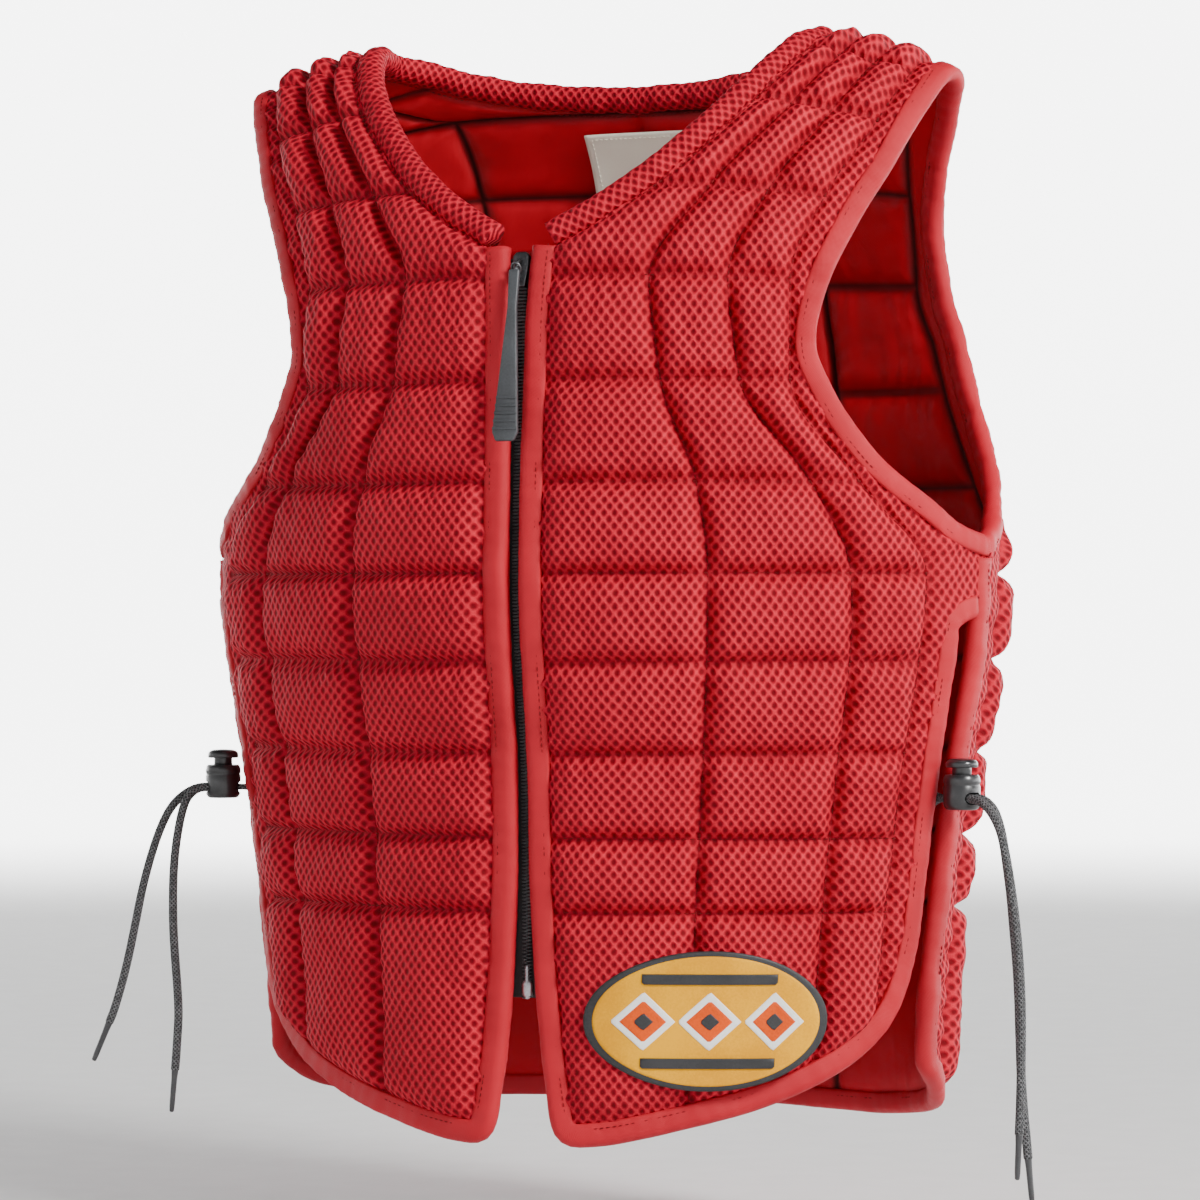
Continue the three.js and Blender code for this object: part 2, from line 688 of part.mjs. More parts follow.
const frontEdge = [
  ...innerEdgeOf(rowsBetween(frontGrid, frontRows, 0, vStation)).reverse(),
  ...hemEdgeOf(frontGrid).slice(1),
  ...outerEdgeOf(rowsBetween(frontGrid, frontRows, 0, SIDE_SLIT_TOP - 0.02)).slice(1),
];
const frontBinding = bindingGeometry(frontEdge, BINDING_WIDTH, BINDING_THICKNESS);
addPiece(vest, 'front_binding_left', frontBinding, 'binding');
addPiece(vest, 'front_binding_right', mirrored(frontBinding), 'binding');

const backHalf = [
  ...outerEdgeOf(rowsBetween(backGrid, backRows, 0, SIDE_SLIT_TOP - 0.02)).reverse(),
  ...hemEdgeOf(backGrid).reverse().slice(1),
];
const backEdge = [...backHalf, ...flipEdge(backHalf).reverse().slice(1)];
addPiece(vest, 'back_binding', bindingGeometry(backEdge, BINDING_WIDTH, BINDING_THICKNESS), 'binding');

// The zip: a tape at each side, the joined chain, the slider with its pull and the guard behind
function zipPieces() {
  const behind = -ZIP_DEPTH;
  const stations = spread(ZIP_BOTTOM, ZIP_TOP, 12);
  const halfTape = ZIP_TAPE_THICKNESS / 2;
  const tape = stripGeometry(stations, (station) => [
    zipPoint(ZIP_CLEARANCE, station, behind - halfTape),
    zipPoint(ZIP_TAPE_WIDTH, station, behind - halfTape),
    zipPoint(ZIP_TAPE_WIDTH, station, behind + halfTape),
    zipPoint(ZIP_CLEARANCE, station, behind + halfTape),
  ]);
  addPiece(vest, 'zip_tape_left', tape, 'zip');
  addPiece(vest, 'zip_tape_right', mirrored(tape), 'zip');

  const chainBack = behind + halfTape + ZIP_CLEARANCE;
  const chainFront = chainBack + ZIP_CHAIN_THICKNESS;
  const halfChain = ZIP_CHAIN_WIDTH / 2;
  const chain = stripGeometry(stations, (station) => [
    zipPoint(-halfChain, station, chainBack),
    zipPoint(halfChain, station, chainBack),
    zipPoint(halfChain, station, chainFront),
    zipPoint(-halfChain, station, chainFront),
  ]);
  addPiece(vest, 'zip_chain', chain, 'zip');

  const guardFront = behind - halfTape - GUARD_CLEARANCE;
  const guard = stripGeometry([...stations, ZIP_TOP + 0.04], (station) => [
    zipPoint(-GUARD_WIDTH / 2, station, guardFront - GUARD_THICKNESS),
    zipPoint(GUARD_WIDTH / 2, station, guardFront - GUARD_THICKNESS),
    zipPoint(GUARD_WIDTH / 2, station, guardFront),
    zipPoint(-GUARD_WIDTH / 2, station, guardFront),
  ]);
  addPiece(vest, 'zip_guard', guard, 'guard');

  const sliderTop = zipPoint(0, ZIP_TOP, chainFront + ZIP_CLEARANCE);
  const sliderFoot = zipPoint(0, ZIP_TOP - 0.06, chainFront + ZIP_CLEARANCE);
  const slider = new THREE.Group();
  slider.position.copy(sliderTop);
  const lean = Math.atan2(sliderFoot.y - sliderTop.y, sliderTop.z - sliderFoot.z);
  slider.rotation.x = lean;
  vest.add(slider);
  addPiece(slider, 'zip_slider', sliderGeometry(), 'metal');

  const pullTop = new THREE.Vector3(0, -PULL_STANDOFF + ZIP_DEPTH, -SLIDER_LENGTH * 0.55);
  const pull = pullGeometry();
  pull.translate(pullTop.x, pullTop.y, pullTop.z);
  addPiece(slider, 'zip_pull', pull, 'pull');
}

// The slider's body, with the bail that holds the pull, in front of the chain
function sliderGeometry() {
  const shape = new THREE.Shape();
  const half = SLIDER_WIDTH / 2;
  shape.moveTo(-half, 0).lineTo(-half * 0.62, -SLIDER_LENGTH).lineTo(half * 0.62, -SLIDER_LENGTH).lineTo(half, 0);
  shape.lineTo(half * 0.7, 2).lineTo(-half * 0.7, 2).closePath();
  const plate = new THREE.ExtrudeGeometry(shape, { depth: SLIDER_THICKNESS / 2, bevelEnabled: false });
  plate.applyMatrix4(new THREE.Matrix4().makeBasis(
    new THREE.Vector3(1, 0, 0),
    new THREE.Vector3(0, 0, 1),
    new THREE.Vector3(0, -1, 0),
  ));
  const bail = new THREE.BoxGeometry(SLIDER_WIDTH * 0.3, SLIDER_THICKNESS, SLIDER_LENGTH * 0.62);
  bail.translate(0, -SLIDER_THICKNESS * 0.85, -SLIDER_LENGTH * 0.45);
  const window = new THREE.BoxGeometry(SLIDER_WIDTH, SLIDER_THICKNESS * 0.45, SLIDER_LENGTH * 0.36);
  window.translate(0, -SLIDER_THICKNESS * 0.8, -SLIDER_LENGTH * 0.45);
  return fromManifold(toManifold(plate).add(toManifold(bail)).subtract(toManifold(window)));
}

// The pull: a flat tapered tab that widens towards its free end
function pullGeometry() {
  const shape = new THREE.Shape();
  const [top, end] = [PULL_TOP_WIDTH / 2, PULL_END_WIDTH / 2];
  shape.moveTo(-top, 0).lineTo(-top * 0.8, -PULL_LENGTH * 0.22).lineTo(-end, -PULL_LENGTH);
  shape.lineTo(end, -PULL_LENGTH).lineTo(top * 0.8, -PULL_LENGTH * 0.22).lineTo(top, 0).closePath();
  const geometry = new THREE.ExtrudeGeometry(shape, { depth: PULL_THICKNESS, bevelEnabled: false });
  geometry.applyMatrix4(new THREE.Matrix4().makeBasis(
    new THREE.Vector3(1, 0, 0),
    new THREE.Vector3(0, 0, 1),
    new THREE.Vector3(0, -1, 0),
  ));
  return welded(geometry);
}

// A curved plate on the wall, from a grid of turns and stations and a front and back distance
function plateGeometry(nodes, back, front) {
  const grid = nodes.map((row) => row.map(({ turn, station, mirror = 1 }) => {
    const outer = wallPoint(turn, station, front);
    const inner = wallPoint(turn, station, back);
    outer.x *= mirror;
    inner.x *= mirror;
    return { outer, inner };
  }));
  return panelGeometry([grid]);
}

// The blank label hangs inside the back neck
function labelPiece() {
  const stations = spread(LABEL_STATION - LABEL_HEIGHT / (SHOULDER_START * 90 * DEGREE), LABEL_STATION, 4);
  const halfWidth = HALF_WIDTH * lookUp(LEVELS, 'station', 'width', LABEL_STATION);
  const nodes = stations.map((station) => spread(-LABEL_WIDTH / 2, LABEL_WIDTH / 2, 4).map((x) => ({
    turn: turnAtWidth(Math.abs(x) / halfWidth, true),
    station,
    mirror: x < 0 ? -1 : 1,
  })));
  const deepest = (PAD_WALL - SEAM_WALL) / 4;
  addPiece(vest, 'neck_label', plateGeometry(nodes, -deepest - LABEL_CLEARANCE - LABEL_THICKNESS, -deepest - LABEL_CLEARANCE), 'label');
}

// The badge is an oval plate on the left front's skirt
function badgePiece() {
  const around = 20;
  const middle = liningPoint(BADGE_TURN, BADGE_STATION);
  const perTurn = liningPoint(BADGE_TURN + 1, BADGE_STATION).distanceTo(middle);
  const perStation = LENGTH - SHOULDER_START;
  const rings = [0, 0.5, 1].map((share) => Array.from({ length: around + 1 }, (_, i) => {
    const angle = ((i % around) * 2 * Math.PI) / around;
    return {
      turn: BADGE_TURN + (share * BADGE_WIDTH * Math.cos(angle)) / 2 / perTurn,
      station: BADGE_STATION + (share * BADGE_HEIGHT * Math.sin(angle)) / 2 / perStation,
    };
  }));
  const padFront = PAD_WALL - (PAD_WALL - SEAM_WALL) / 4;
  const back = padFront + BADGE_CLEARANCE;
  addPiece(vest, 'badge', plateGeometry(rings, back, back + BADGE_THICKNESS), 'badge');
}

// The elastic lacing in the slit, above and below the lock, ending inside the lock's slot
function lacingPaths(lock) {
  const slitPoint = (side, station) => wallPoint(SLIT_TURN + side * LACING_SPREAD, station, -LACING_DEPTH);
  const { out, along } = lockFrame();
  const atLock = (far, across) => lock.clone().addScaledVector(out, far).addScaledVector(along, across);
  const through = (side, station) => wallPoint(SLIT_TURN + side * LACING_SHIFT, station, (SEAM_WALL - LACING_DEPTH) / 2);
  const zigzag = (from, to, count) => spread(from, to, count).map((station, i) => slitPoint(i % 2 ? 1 : -1, station));
  const half = LOCK_SLOT_LENGTH / 4;
  const strandAt = (across) => [
    atLock(-LOCK_RADIUS * 0.1, across),
    atLock(-LOCK_RADIUS, across),
    atLock(-LOCK_RADIUS - 1, across * 0.9),
  ];
  const upper = [
    ...strandAt(-half),
    through(-1, LOCK_STATION + 0.008),
    ...zigzag(LOCK_STATION + 0.045, SIDE_SLIT_TOP - 0.03, LACING_CROSSINGS),
  ];
  const lower = [
    ...strandAt(half),
    through(1, LOCK_STATION - 0.008),
    ...zigzag(LOCK_STATION - 0.045, LOCK_STATION - 0.13, 2),
  ];
  return { upper, lower };
}

// Directions at the lock: out of the slit and along the wall
function lockFrame() {
  const out = wallNormal(SLIT_TURN, LOCK_STATION).setZ(0).normalize();
  return { out, along: new THREE.Vector3(-out.y, out.x, 0) };
}

// Middle of the lock's slot
function lockSlotMiddle() {
  return wallPoint(SLIT_TURN, LOCK_STATION, 0).addScaledVector(lockFrame().out, LOCK_STANDOFF);
}

function lockBarrelGeometry() {
  const profile = [
    [0, 0], [LOCK_RADIUS * 0.8, 0], [LOCK_RADIUS, LOCK_HEIGHT * 0.12], [LOCK_RADIUS, LOCK_HEIGHT * 0.82],
    [LOCK_RADIUS * 0.9, LOCK_HEIGHT], [LOCK_BORE_RADIUS, LOCK_HEIGHT],
    [LOCK_BORE_RADIUS, LOCK_HEIGHT - LOCK_BORE_DEPTH], [0, LOCK_HEIGHT - LOCK_BORE_DEPTH],
  ].map(([r, z]) => new THREE.Vector2(r, z));
  const barrel = new THREE.LatheGeometry(profile, LOCK_SIDES).rotateX(Math.PI / 2);
  const half = LOCK_SLOT_LENGTH / 2 - LOCK_SLOT_HEIGHT / 2;
  const slot = new THREE.Shape();
  slot.absarc(half, 0, LOCK_SLOT_HEIGHT / 2, -Math.PI / 2, Math.PI / 2);
  slot.absarc(-half, 0, LOCK_SLOT_HEIGHT / 2, Math.PI / 2, (3 * Math.PI) / 2);
  const cut = new THREE.ExtrudeGeometry(slot, { depth: LOCK_RADIUS * 3, bevelEnabled: false, curveSegments: 3 });
  cut.translate(0, 0, -LOCK_RADIUS * 1.5).rotateX(Math.PI / 2).translate(0, 0, LOCK_SLOT_LIFT);
  return fromManifold(toManifold(barrel).subtract(toManifold(cut)));
}

function lockButtonGeometry() {
  const stem = LOCK_BORE_RADIUS - BUTTON_CLEARANCE;
  const depth = LOCK_BORE_DEPTH - BUTTON_TRAVEL - BUTTON_CLEARANCE;
  const seat = LOCK_HEIGHT + BUTTON_TRAVEL + BUTTON_CLEARANCE;
  const profile = [
    [0, LOCK_HEIGHT - depth], [stem, LOCK_HEIGHT - depth], [stem, seat], [BUTTON_RADIUS, seat],
    [BUTTON_RADIUS, seat + BUTTON_DOME * 0.5], [BUTTON_RADIUS * 0.75, seat + BUTTON_DOME * 0.9],
    [0, seat + BUTTON_DOME],
  ].map(([r, z]) => new THREE.Vector2(r, z));
  return fromManifold(toManifold(new THREE.LatheGeometry(profile, LOCK_SIDES).rotateX(Math.PI / 2)));
}

// Routes of the free cord ends from the locks, chosen by hand: out of the slit, along the wall, and down
const CORD_ROUTES = {
  cord_left_a: [
    [-2.5, 0], [2, -0.4], [5.5, -2.2], [9, -6], [11.5, -12], [13.5, -20], [15.5, -32], [17.5, -46],
    [19, -62], [20.5, -79], [21.3, -96], [21.5, -113], [21.8, -130], [22.7, -146], [24, -160], [25, -172],
  ],
  cord_left_b: [
    [-2.5, 0], [2, -0.3], [6, -1.4], [11, -4], [16, -8.5], [20.5, -15], [24, -24], [27.5, -36],
    [31, -51], [34, -67], [36.2, -84], [37.5, -101], [38, -117], [38.2, -132], [38.2, -146], [38, -158],
  ],
  cord_right_a: [
    [-2.5, 0], [2, -0.3], [6, -1.6], [11, -4.8], [16, -10], [20, -17], [24, -27], [28, -40],
    [31.5, -54], [34.5, -69], [37.5, -84], [40.5, -97], [43.5, -108], [46, -116], [48, -121],
  ],
  cord_right_b: [
    [-2.5, 0], [2, -0.4], [5.5, -2.2], [8.8, -6], [11, -12], [12.8, -20], [14.5, -31], [15.6, -44],
    [15.9, -58], [15.7, -73], [14.8, -88], [13.7, -103], [13.2, -116], [13.8, -128], [14.4, -137], [15, -144],
  ],
};

// The locks and cords of one side. They are made on the wearer's left, and mirrored for the right.
function lacingSide(side) {
  const sign = side === 'left' ? 1 : -1;
  const place = (geometry) => (sign > 0 ? geometry : mirrored(geometry));
  const slot = lockSlotMiddle();
  const { out, along } = lockFrame();
  const turn = new THREE.Matrix4().makeBasis(along.clone().negate(), out, new THREE.Vector3(0, 0, 1));
  turn.setPosition(slot.x, slot.y, slot.z - LOCK_SLOT_LIFT);
  const paths = lacingPaths(slot);
  addPiece(vest, `lacing_upper_${side}`, place(tubeGeometry(paths.upper, LACING_DIAMETER, 20)), 'cord');
  addPiece(vest, `lacing_lower_${side}`, place(tubeGeometry(paths.lower, LACING_DIAMETER, 12)), 'cord');
  addPiece(vest, `lock_barrel_${side}`, place(outward(lockBarrelGeometry().applyMatrix4(turn))), 'lock');
  addPiece(vest, `lock_button_${side}`, place(outward(lockButtonGeometry().applyMatrix4(turn))), 'lock');
  for (const strand of ['a', 'b']) {
    const across = (strand === 'a' ? 1 : -1) * (CORD_DIAMETER / 2 + 0.2);
    const reach = LOCK_RADIUS + 1;
    const points = CORD_ROUTES[`cord_${side}_${strand}`].map(([far, down], i) => slot.clone()
      .addScaledVector(out, far + reach)
      .addScaledVector(along, across * (1 + Math.max(0, i - 2) * 0.22))
      .add(new THREE.Vector3(0, 0, down)));
    addPiece(vest, `cord_${side}_${strand}`, place(tubeGeometry(points, CORD_DIAMETER, 13)), 'cord');
    const end = points.at(-1);
    const heading = end.clone().sub(points.at(-2)).normalize();
    const tip = [TIP_CLEARANCE, TIP_LENGTH].map((far) => end.clone().addScaledVector(heading, far));
    addPiece(vest, `cord_tip_${side}_${strand}`, place(tubeGeometry(tip, TIP_DIAMETER, 1)), 'cord');
  }
}

zipPieces();
labelPiece();
badgePiece();
lacingSide('left');
lacingSide('right');

export default vest;
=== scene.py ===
"""Looks of a riding body protector: quilted mesh panels, bindings, zip, side lacing and cord locks."""

from __future__ import annotations

import logging
import math
from collections.abc import Callable, Sequence
from dataclasses import dataclass, field
from enum import Enum

import bmesh
import bpy
import numpy as np
from mathutils import Matrix, Vector


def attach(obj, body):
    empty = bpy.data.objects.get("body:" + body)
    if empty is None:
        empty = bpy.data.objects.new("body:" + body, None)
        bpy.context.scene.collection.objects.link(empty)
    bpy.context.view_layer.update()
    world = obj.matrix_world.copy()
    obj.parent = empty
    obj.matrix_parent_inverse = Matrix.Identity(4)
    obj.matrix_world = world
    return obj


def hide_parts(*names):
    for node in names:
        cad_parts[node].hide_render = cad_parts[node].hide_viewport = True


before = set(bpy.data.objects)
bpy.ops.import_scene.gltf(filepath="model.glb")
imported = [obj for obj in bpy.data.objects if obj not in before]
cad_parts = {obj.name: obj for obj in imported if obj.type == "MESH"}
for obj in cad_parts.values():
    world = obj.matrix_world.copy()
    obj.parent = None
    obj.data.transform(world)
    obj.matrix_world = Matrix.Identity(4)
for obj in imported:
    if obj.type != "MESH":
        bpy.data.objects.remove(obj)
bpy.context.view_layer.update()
LOG = logging.getLogger("body_protector")
MM = 0.001

Array = np.ndarray
Piece = bpy.types.Object
Socket = bpy.types.NodeSocket
Material = bpy.types.Material
Faces = list[tuple[int, ...]]
Place = tuple[float, float, float]

# The body's sizes and tables, the same as in the part's source


@dataclass(frozen=True)
class Curve:
    """A smooth curve through named points that never overshoots them."""

    places: tuple[float, ...]
    values: tuple[float, ...]

    def at(self, where: Array | float) -> Array:
        """Looks values up.

        Args:
            where: Places, which may lie past either end.

        Returns:
            The values there.
        """
        x = np.array(self.places)
        y = np.array(self.values)
        asked = np.clip(np.asarray(where, dtype=float), x[0], x[-1])
        row = np.clip(np.searchsorted(x, asked, side="right") - 1, 0, len(x) - 2)
        slope = np.diff(y) / np.diff(x)
        before, after = slope[:-1], slope[1:]
        total = np.where(before + after == 0, 1.0, before + after)
        middle = np.where(before * after <= 0, 0.0, 2 * before * after / total)
        knots = np.concatenate([[slope[0]], middle, [slope[-1]]])
        span = x[row + 1] - x[row]
        t = (asked - x[row]) / span
        rise = y[row + 1] - y[row]
        leave, arrive = knots[row] * span, knots[row + 1] * span
        return y[row] + t * (leave + t * (3 * rise - 2 * leave - arrive + t * (leave + arrive - 2 * rise)))


def table(*rows: tuple[float, ...], column: int = 1) -> Curve:
    """Makes a curve from one column of a short table.

    Args:
        rows: Rows that begin with the place.
        column: The column of values.

    Returns:
        The curve.
    """
    return Curve(tuple(row[0] for row in rows), tuple(row[column] for row in rows))


GIRTH_ROWS = (
    (0, 0, -1), (15, 0.23, -0.94), (30, 0.44, -0.82), (45, 0.635, -0.65), (60, 0.81, -0.45),
    (75, 0.945, -0.22), (90, 1, 0.04), (105, 0.97, 0.32), (120, 0.86, 0.58), (135, 0.68, 0.78),
    (150, 0.46, 0.91), (165, 0.23, 0.98), (180, 0, 1),
)
LEVEL_ROWS = (
    (0, 0.85, 0.9, 0.9), (0.144, 0.865, 0.88, 0.88), (0.412, 0.925, 0.89, 0.88),
    (0.687, 1, 1, 0.98), (1, 0.99, 0.95, 1), (1.5, 0.985, 0.93, 0.98), (2, 0.985, 0.9, 0.95),
)
ZIP_GAP = table(
    (0, 0.075), (0.092, 0.048), (0.248, 0.024), (0.374, 0.0165), (0.791, 0.016), (1.02, 0.023),
    (1.165, 0.032),
)
FRONT_NECKLINE = table(
    (1.165, 5.2), (1.247, 15.5), (1.397, 28), (1.58, 37), (1.774, 42), (2, 44.5), (2.12, 45),
)
FRONT_SIDE = table(
    (0, 73.6), (0.635, 73.6), (0.658, 78), (0.671, 86.2), (0.721, 86.2), (0.734, 77), (0.768, 69),
    (0.83, 57.5), (0.91, 49.5), (0.977, 46), (1.07, 47.3), (1.253, 53), (1.437, 59.7), (1.6, 64),
    (1.774, 67.5), (2, 70), (2.12, 70.5),
)
FRONT_HEM = table(
    (0, 0), (15, 0.01), (30, 0.031), (45, 0.057), (58, 0.093), (67, 0.135), (71.5, 0.185), (73.6, 0.245),
)
BACK_HEM = table(
    (86.6, 0.085), (91, 0.072), (96, 0.058), (104, 0.04), (115, 0.025), (135, 0.014), (180, 0.02),
)
FRONT_COLUMN_ROWS = (
    (0, 31, 55, 68.5), (0.274, 31, 55, 68.5), (0.588, 31, 55.5, 69), (0.696, 31, 55, 69.5),
    (0.809, 29, 48, 56.5), (0.935, 23, 36, 44.5), (1.106, 21, 34, 44.5), (1.3, 30, 40, 50),
    (1.542, 42, 49.5, 58.5), (1.8, 48.5, 55.5, 64), (2.12, 51, 58.5, 67),
)
BACK_COLUMN_ROWS = (
    (0, 141, 96), (0.588, 141, 96), (0.696, 142, 98.5), (0.809, 146, 114), (0.935, 148, 124.5),
    (1.13, 150, 131), (1.36, 149, 131), (1.59, 147, 129), (1.6, 145, 128.8), (1.625, 142, 128),
    (1.67, 138, 126.3), (1.74, 133.5, 123.5), (1.88, 127.5, 118.8),
)
FRONT_SEAMS = (0, 0.274, 0.366, 0.474, 0.588, 0.696, 0.809, 0.935, 1.106, 1.3, 1.542, 1.8, 2.12)
BACK_SEAMS = (0, 0.274, 0.366, 0.474, 0.588, 0.696, 0.809, 0.935, 1.13, 1.36, 1.59, 1.74, 1.88)
SLIT_TOP = 0.635
SLIT_ARCH = 0.664
ARMHOLE_BOTTOM = 0.721
V_STATION = 1.165
BACK_NECK_STATION = 1.59
STRAP_END = 2.12
SLIT_TURN = 80.2


@dataclass(frozen=True)
class BodyForm:
    """The worn form that every cloth piece follows: turn goes round it in degrees, station goes up it."""

    length: float = 0.538
    half_width: float = 0.2
    front_depth: float = 0.11
    back_depth: float = 0.1
    shoulder_start: float = 0.15
    shoulder_slope: float = 0.3
    slope_start: float = 0.1
    slope_ease: float = 0.024
    girth_width: Curve = table(*GIRTH_ROWS, column=1)
    girth_depth: Curve = table(*GIRTH_ROWS, column=2)
    level_width: Curve = table(*LEVEL_ROWS, column=1)
    level_front: Curve = table(*LEVEL_ROWS, column=2)
    level_back: Curve = table(*LEVEL_ROWS, column=3)

    def turn_at_width(self, share: Array | float, behind: bool) -> Array:
        """Finds the turn at which the girth is a share of its half width.

        Args:
            share: Shares of the half width.
            behind: True for the back half of the girth.

        Returns:
            The turns.
        """
        share = np.asarray(share, dtype=float)
        low = np.full(share.shape, 180.0 if behind else 0.0)
        high = np.full(share.shape, 90.0)
        for _ in range(36):
            middle = (low + high) / 2
            less = self.girth_width.at(middle) < share
            low = np.where(less, middle, low)
            high = np.where(less, high, middle)
        return (low + high) / 2

    def lining(self, turn: Array, station: Array) -> Array:
        """Places points of the lining on the wearer's left.

        Args:
            turn: Turns in degrees.
            station: Stations, past 2 for behind the shoulder line.

        Returns:
            Points, with x, y and z along the last axis.
        """
        turn, station = np.broadcast_arrays(np.asarray(turn, float), np.asarray(station, float))
        past = station > 2
        if past.any():
            turn = np.where(past, self.turn_at_width(self.girth_width.at(turn), True), turn)
            station = np.where(past, 4 - station, station)
        width = self.girth_width.at(turn)
        depth = self.girth_depth.at(turn)
        x = self.half_width * self.level_width.at(station) * width
        front = self.front_depth * self.level_front.at(station)
        reach = np.where(depth < 0, front, self.back_depth * self.level_back.at(station))
        lean = np.maximum(0, station - 1) * math.pi / 2
        out = x - self.slope_start
        fall = self.shoulder_slope * (np.hypot(out, self.slope_ease) + out) / 2
        low = -self.length + station * (self.length - self.shoulder_start)
        high = -self.shoulder_start + (self.shoulder_start - fall) * np.sin(lean)
        return np.stack([x, reach * depth * np.cos(lean), np.where(station < 1, low, high)], axis=-1)

    def normal(self, turn: Array, station: Array) -> Array:
        """Outward directions of the wall.

        Args:
            turn: Turns in degrees.
            station: Stations.

        Returns:
            Unit vectors.
        """
        turn, station = np.broadcast_arrays(np.asarray(turn, float), np.asarray(station, float))
        step = 0.4
        low, high = np.maximum(0, turn - step), np.minimum(180, turn + step)
        along = self.lining(high, station) - self.lining(low, station)
        up = self.lining(turn, station + step / 40) - self.lining(turn, station - step / 40)
        normal = np.cross(along, up)
        normal[..., 0] = np.where((turn <= 0) | (turn >= 180), 0.0, normal[..., 0])
        return normal / np.linalg.norm(normal, axis=-1, keepdims=True)

    def wall(self, turn: Array, station: Array, offset: Array | float) -> Array:
        """Places points at a distance outside the lining.

        Args:
            turn: Turns in degrees.
            station: Stations.
            offset: Distances in metres.

        Returns:
            Points.
        """
        offset = np.asarray(offset, dtype=float)[..., None]
        return self.lining(turn, station) + self.normal(turn, station) * offset

    def zip_point(self, x: Array, station: Array, offset: Array | float) -> Array:
        """Places points near the zip by their distance from the middle.

        Args:
            x: Distances from the middle, minus on the wearer's right.
            station: Stations.
            offset: Distances outside the lining.

        Returns:
            Points.
        """
        x, station = np.broadcast_arrays(np.asarray(x, float), np.asarray(station, float))
        share = np.abs(x) / (self.half_width * self.level_width.at(station))
        points = self.wall(self.turn_at_width(share, False), station, offset)
        points[..., 0] = x
        return points


FORM = BodyForm()
LOW_RISE = FORM.length - FORM.shoulder_start
HIGH_RISE = FORM.shoulder_start * math.pi / 2


@dataclass(frozen=True)
class ClothMap:
    """Lengths over the cloth in metres, so that a weave keeps its scale all over the body."""

    turns: Array = field(default_factory=lambda: np.linspace(0, 180, 361))
    stations: Array = field(default_factory=lambda: np.linspace(-0.02, 2.2, 223))

    def tables(self) -> tuple[Array, Array]:
        """Measures the body once.

        Returns:
            The length round it at each station and turn, and the length up it at each station.
        """
        grid = FORM.lining(self.turns[None, :], np.minimum(self.stations, 2)[:, None])
        steps = np.linalg.norm(np.diff(grid, axis=1), axis=-1)
        across = np.concatenate([np.zeros((len(grid), 1)), np.cumsum(steps, axis=1)], axis=1)
        line = FORM.lining(np.full(len(self.stations), 50.0), self.stations)
        rise = np.linalg.norm(np.diff(line, axis=0), axis=-1)
        return across, np.concatenate([[0.0], np.cumsum(rise)])

    def uv(self, turn: Array, station: Array) -> Array:
        """Lays the cloth out flat.

        Args:
            turn: Turns in degrees.
            station: Stations.

        Returns:
            Lengths across and up, in metres.
        """
        across, up = self.tables()
        i = (station - self.stations[0]) / (self.stations[1] - self.stations[0])
        j = turn / (self.turns[1] - self.turns[0])
        i0 = np.clip(i.astype(int), 0, len(self.stations) - 2)
        j0 = np.clip(j.astype(int), 0, len(self.turns) - 2)
        fi, fj = i - i0, j - j0
        lower = across[i0, j0] * (1 - fj) + across[i0, j0 + 1] * fj
        upper = across[i0 + 1, j0] * (1 - fj) + across[i0 + 1, j0 + 1] * fj
        return np.stack([lower * (1 - fi) + upper * fi, np.interp(station, self.stations, up)], axis=-1)


CLOTH = ClothMap()


def ripple(u: Array, v: Array, size: float, seed: int, waves: int = 7) -> Array:
    """Soft unevenness made of a few crossing waves.

    Args:
        u: Lengths across, in metres.
        v: Lengths up, in metres.
        size: Typical length of a wave.
        seed: Fixed seed.
        waves: How many waves cross.

    Returns:
        Heights from about -1 to 1.
    """
    chance = np.random.default_rng(seed)
    total = np.zeros(np.broadcast(u, v).shape)
    for _ in range(waves):
        angle, phase = chance.uniform(0, 2 * math.pi, 2)
        rate = 2 * math.pi / (size * chance.uniform(0.7, 1.5))
        total += np.sin((u * math.cos(angle) + v * math.sin(angle)) * rate + phase)
    return total / math.sqrt(waves)


# Meshes


def mesh_object(name: str, points: Array, faces: Faces, uvs: Array | None = None) -> Piece:
    """Makes a smooth mesh object at the origin.

    Args:
        name: The piece's name.
        points: Points in metres.
        faces: Faces as point numbers.
        uvs: One pair for each point, where a pattern follows the surface.

    Returns:
        The object.
    """
    mesh = bpy.data.meshes.new(name)
    mesh.from_pydata(points.tolist(), [], faces)
    mesh.polygons.foreach_set("use_smooth", [True] * len(mesh.polygons))
    if uvs is not None:
        corners = np.empty(len(mesh.loops), dtype=np.int32)
        mesh.loops.foreach_get("vertex_index", corners)
        mesh.uv_layers.new(name="cloth").data.foreach_set("uv", uvs[corners].astype(np.float32).ravel())
    mesh.update()
    made = bpy.data.objects.new(name, mesh)
    bpy.context.scene.collection.objects.link(made)
    return made


def grid_faces(rows: int, columns: int, start: int = 0, flip: bool = False, joined: bool = False) -> Faces:
    """Faces of a grid of points stored row by row.

    Args:
        rows: Rows of points.
        columns: Points in each row.
        start: Number of the first point.
        flip: Turns the faces over.
        joined: Closes each row on itself.

    Returns:
        The faces.
    """
    faces = []
    for i in range(rows - 1):
        for j in range(columns if joined else columns - 1):
            k = (j + 1) % columns
            a, b = start + i * columns + j, start + i * columns + k
            c, d = b + columns, a + columns
            faces.append((a, d, c, b) if flip else (a, b, c, d))
    return faces


def shade(piece: Piece, *finishes: Material) -> Piece:
    """Gives a piece its materials.

    Args:
        piece: The piece.
        finishes: Materials, in slot order.

    Returns:
        The piece.
    """
    for finish in finishes:
        piece.data.materials.append(finish)
    return piece


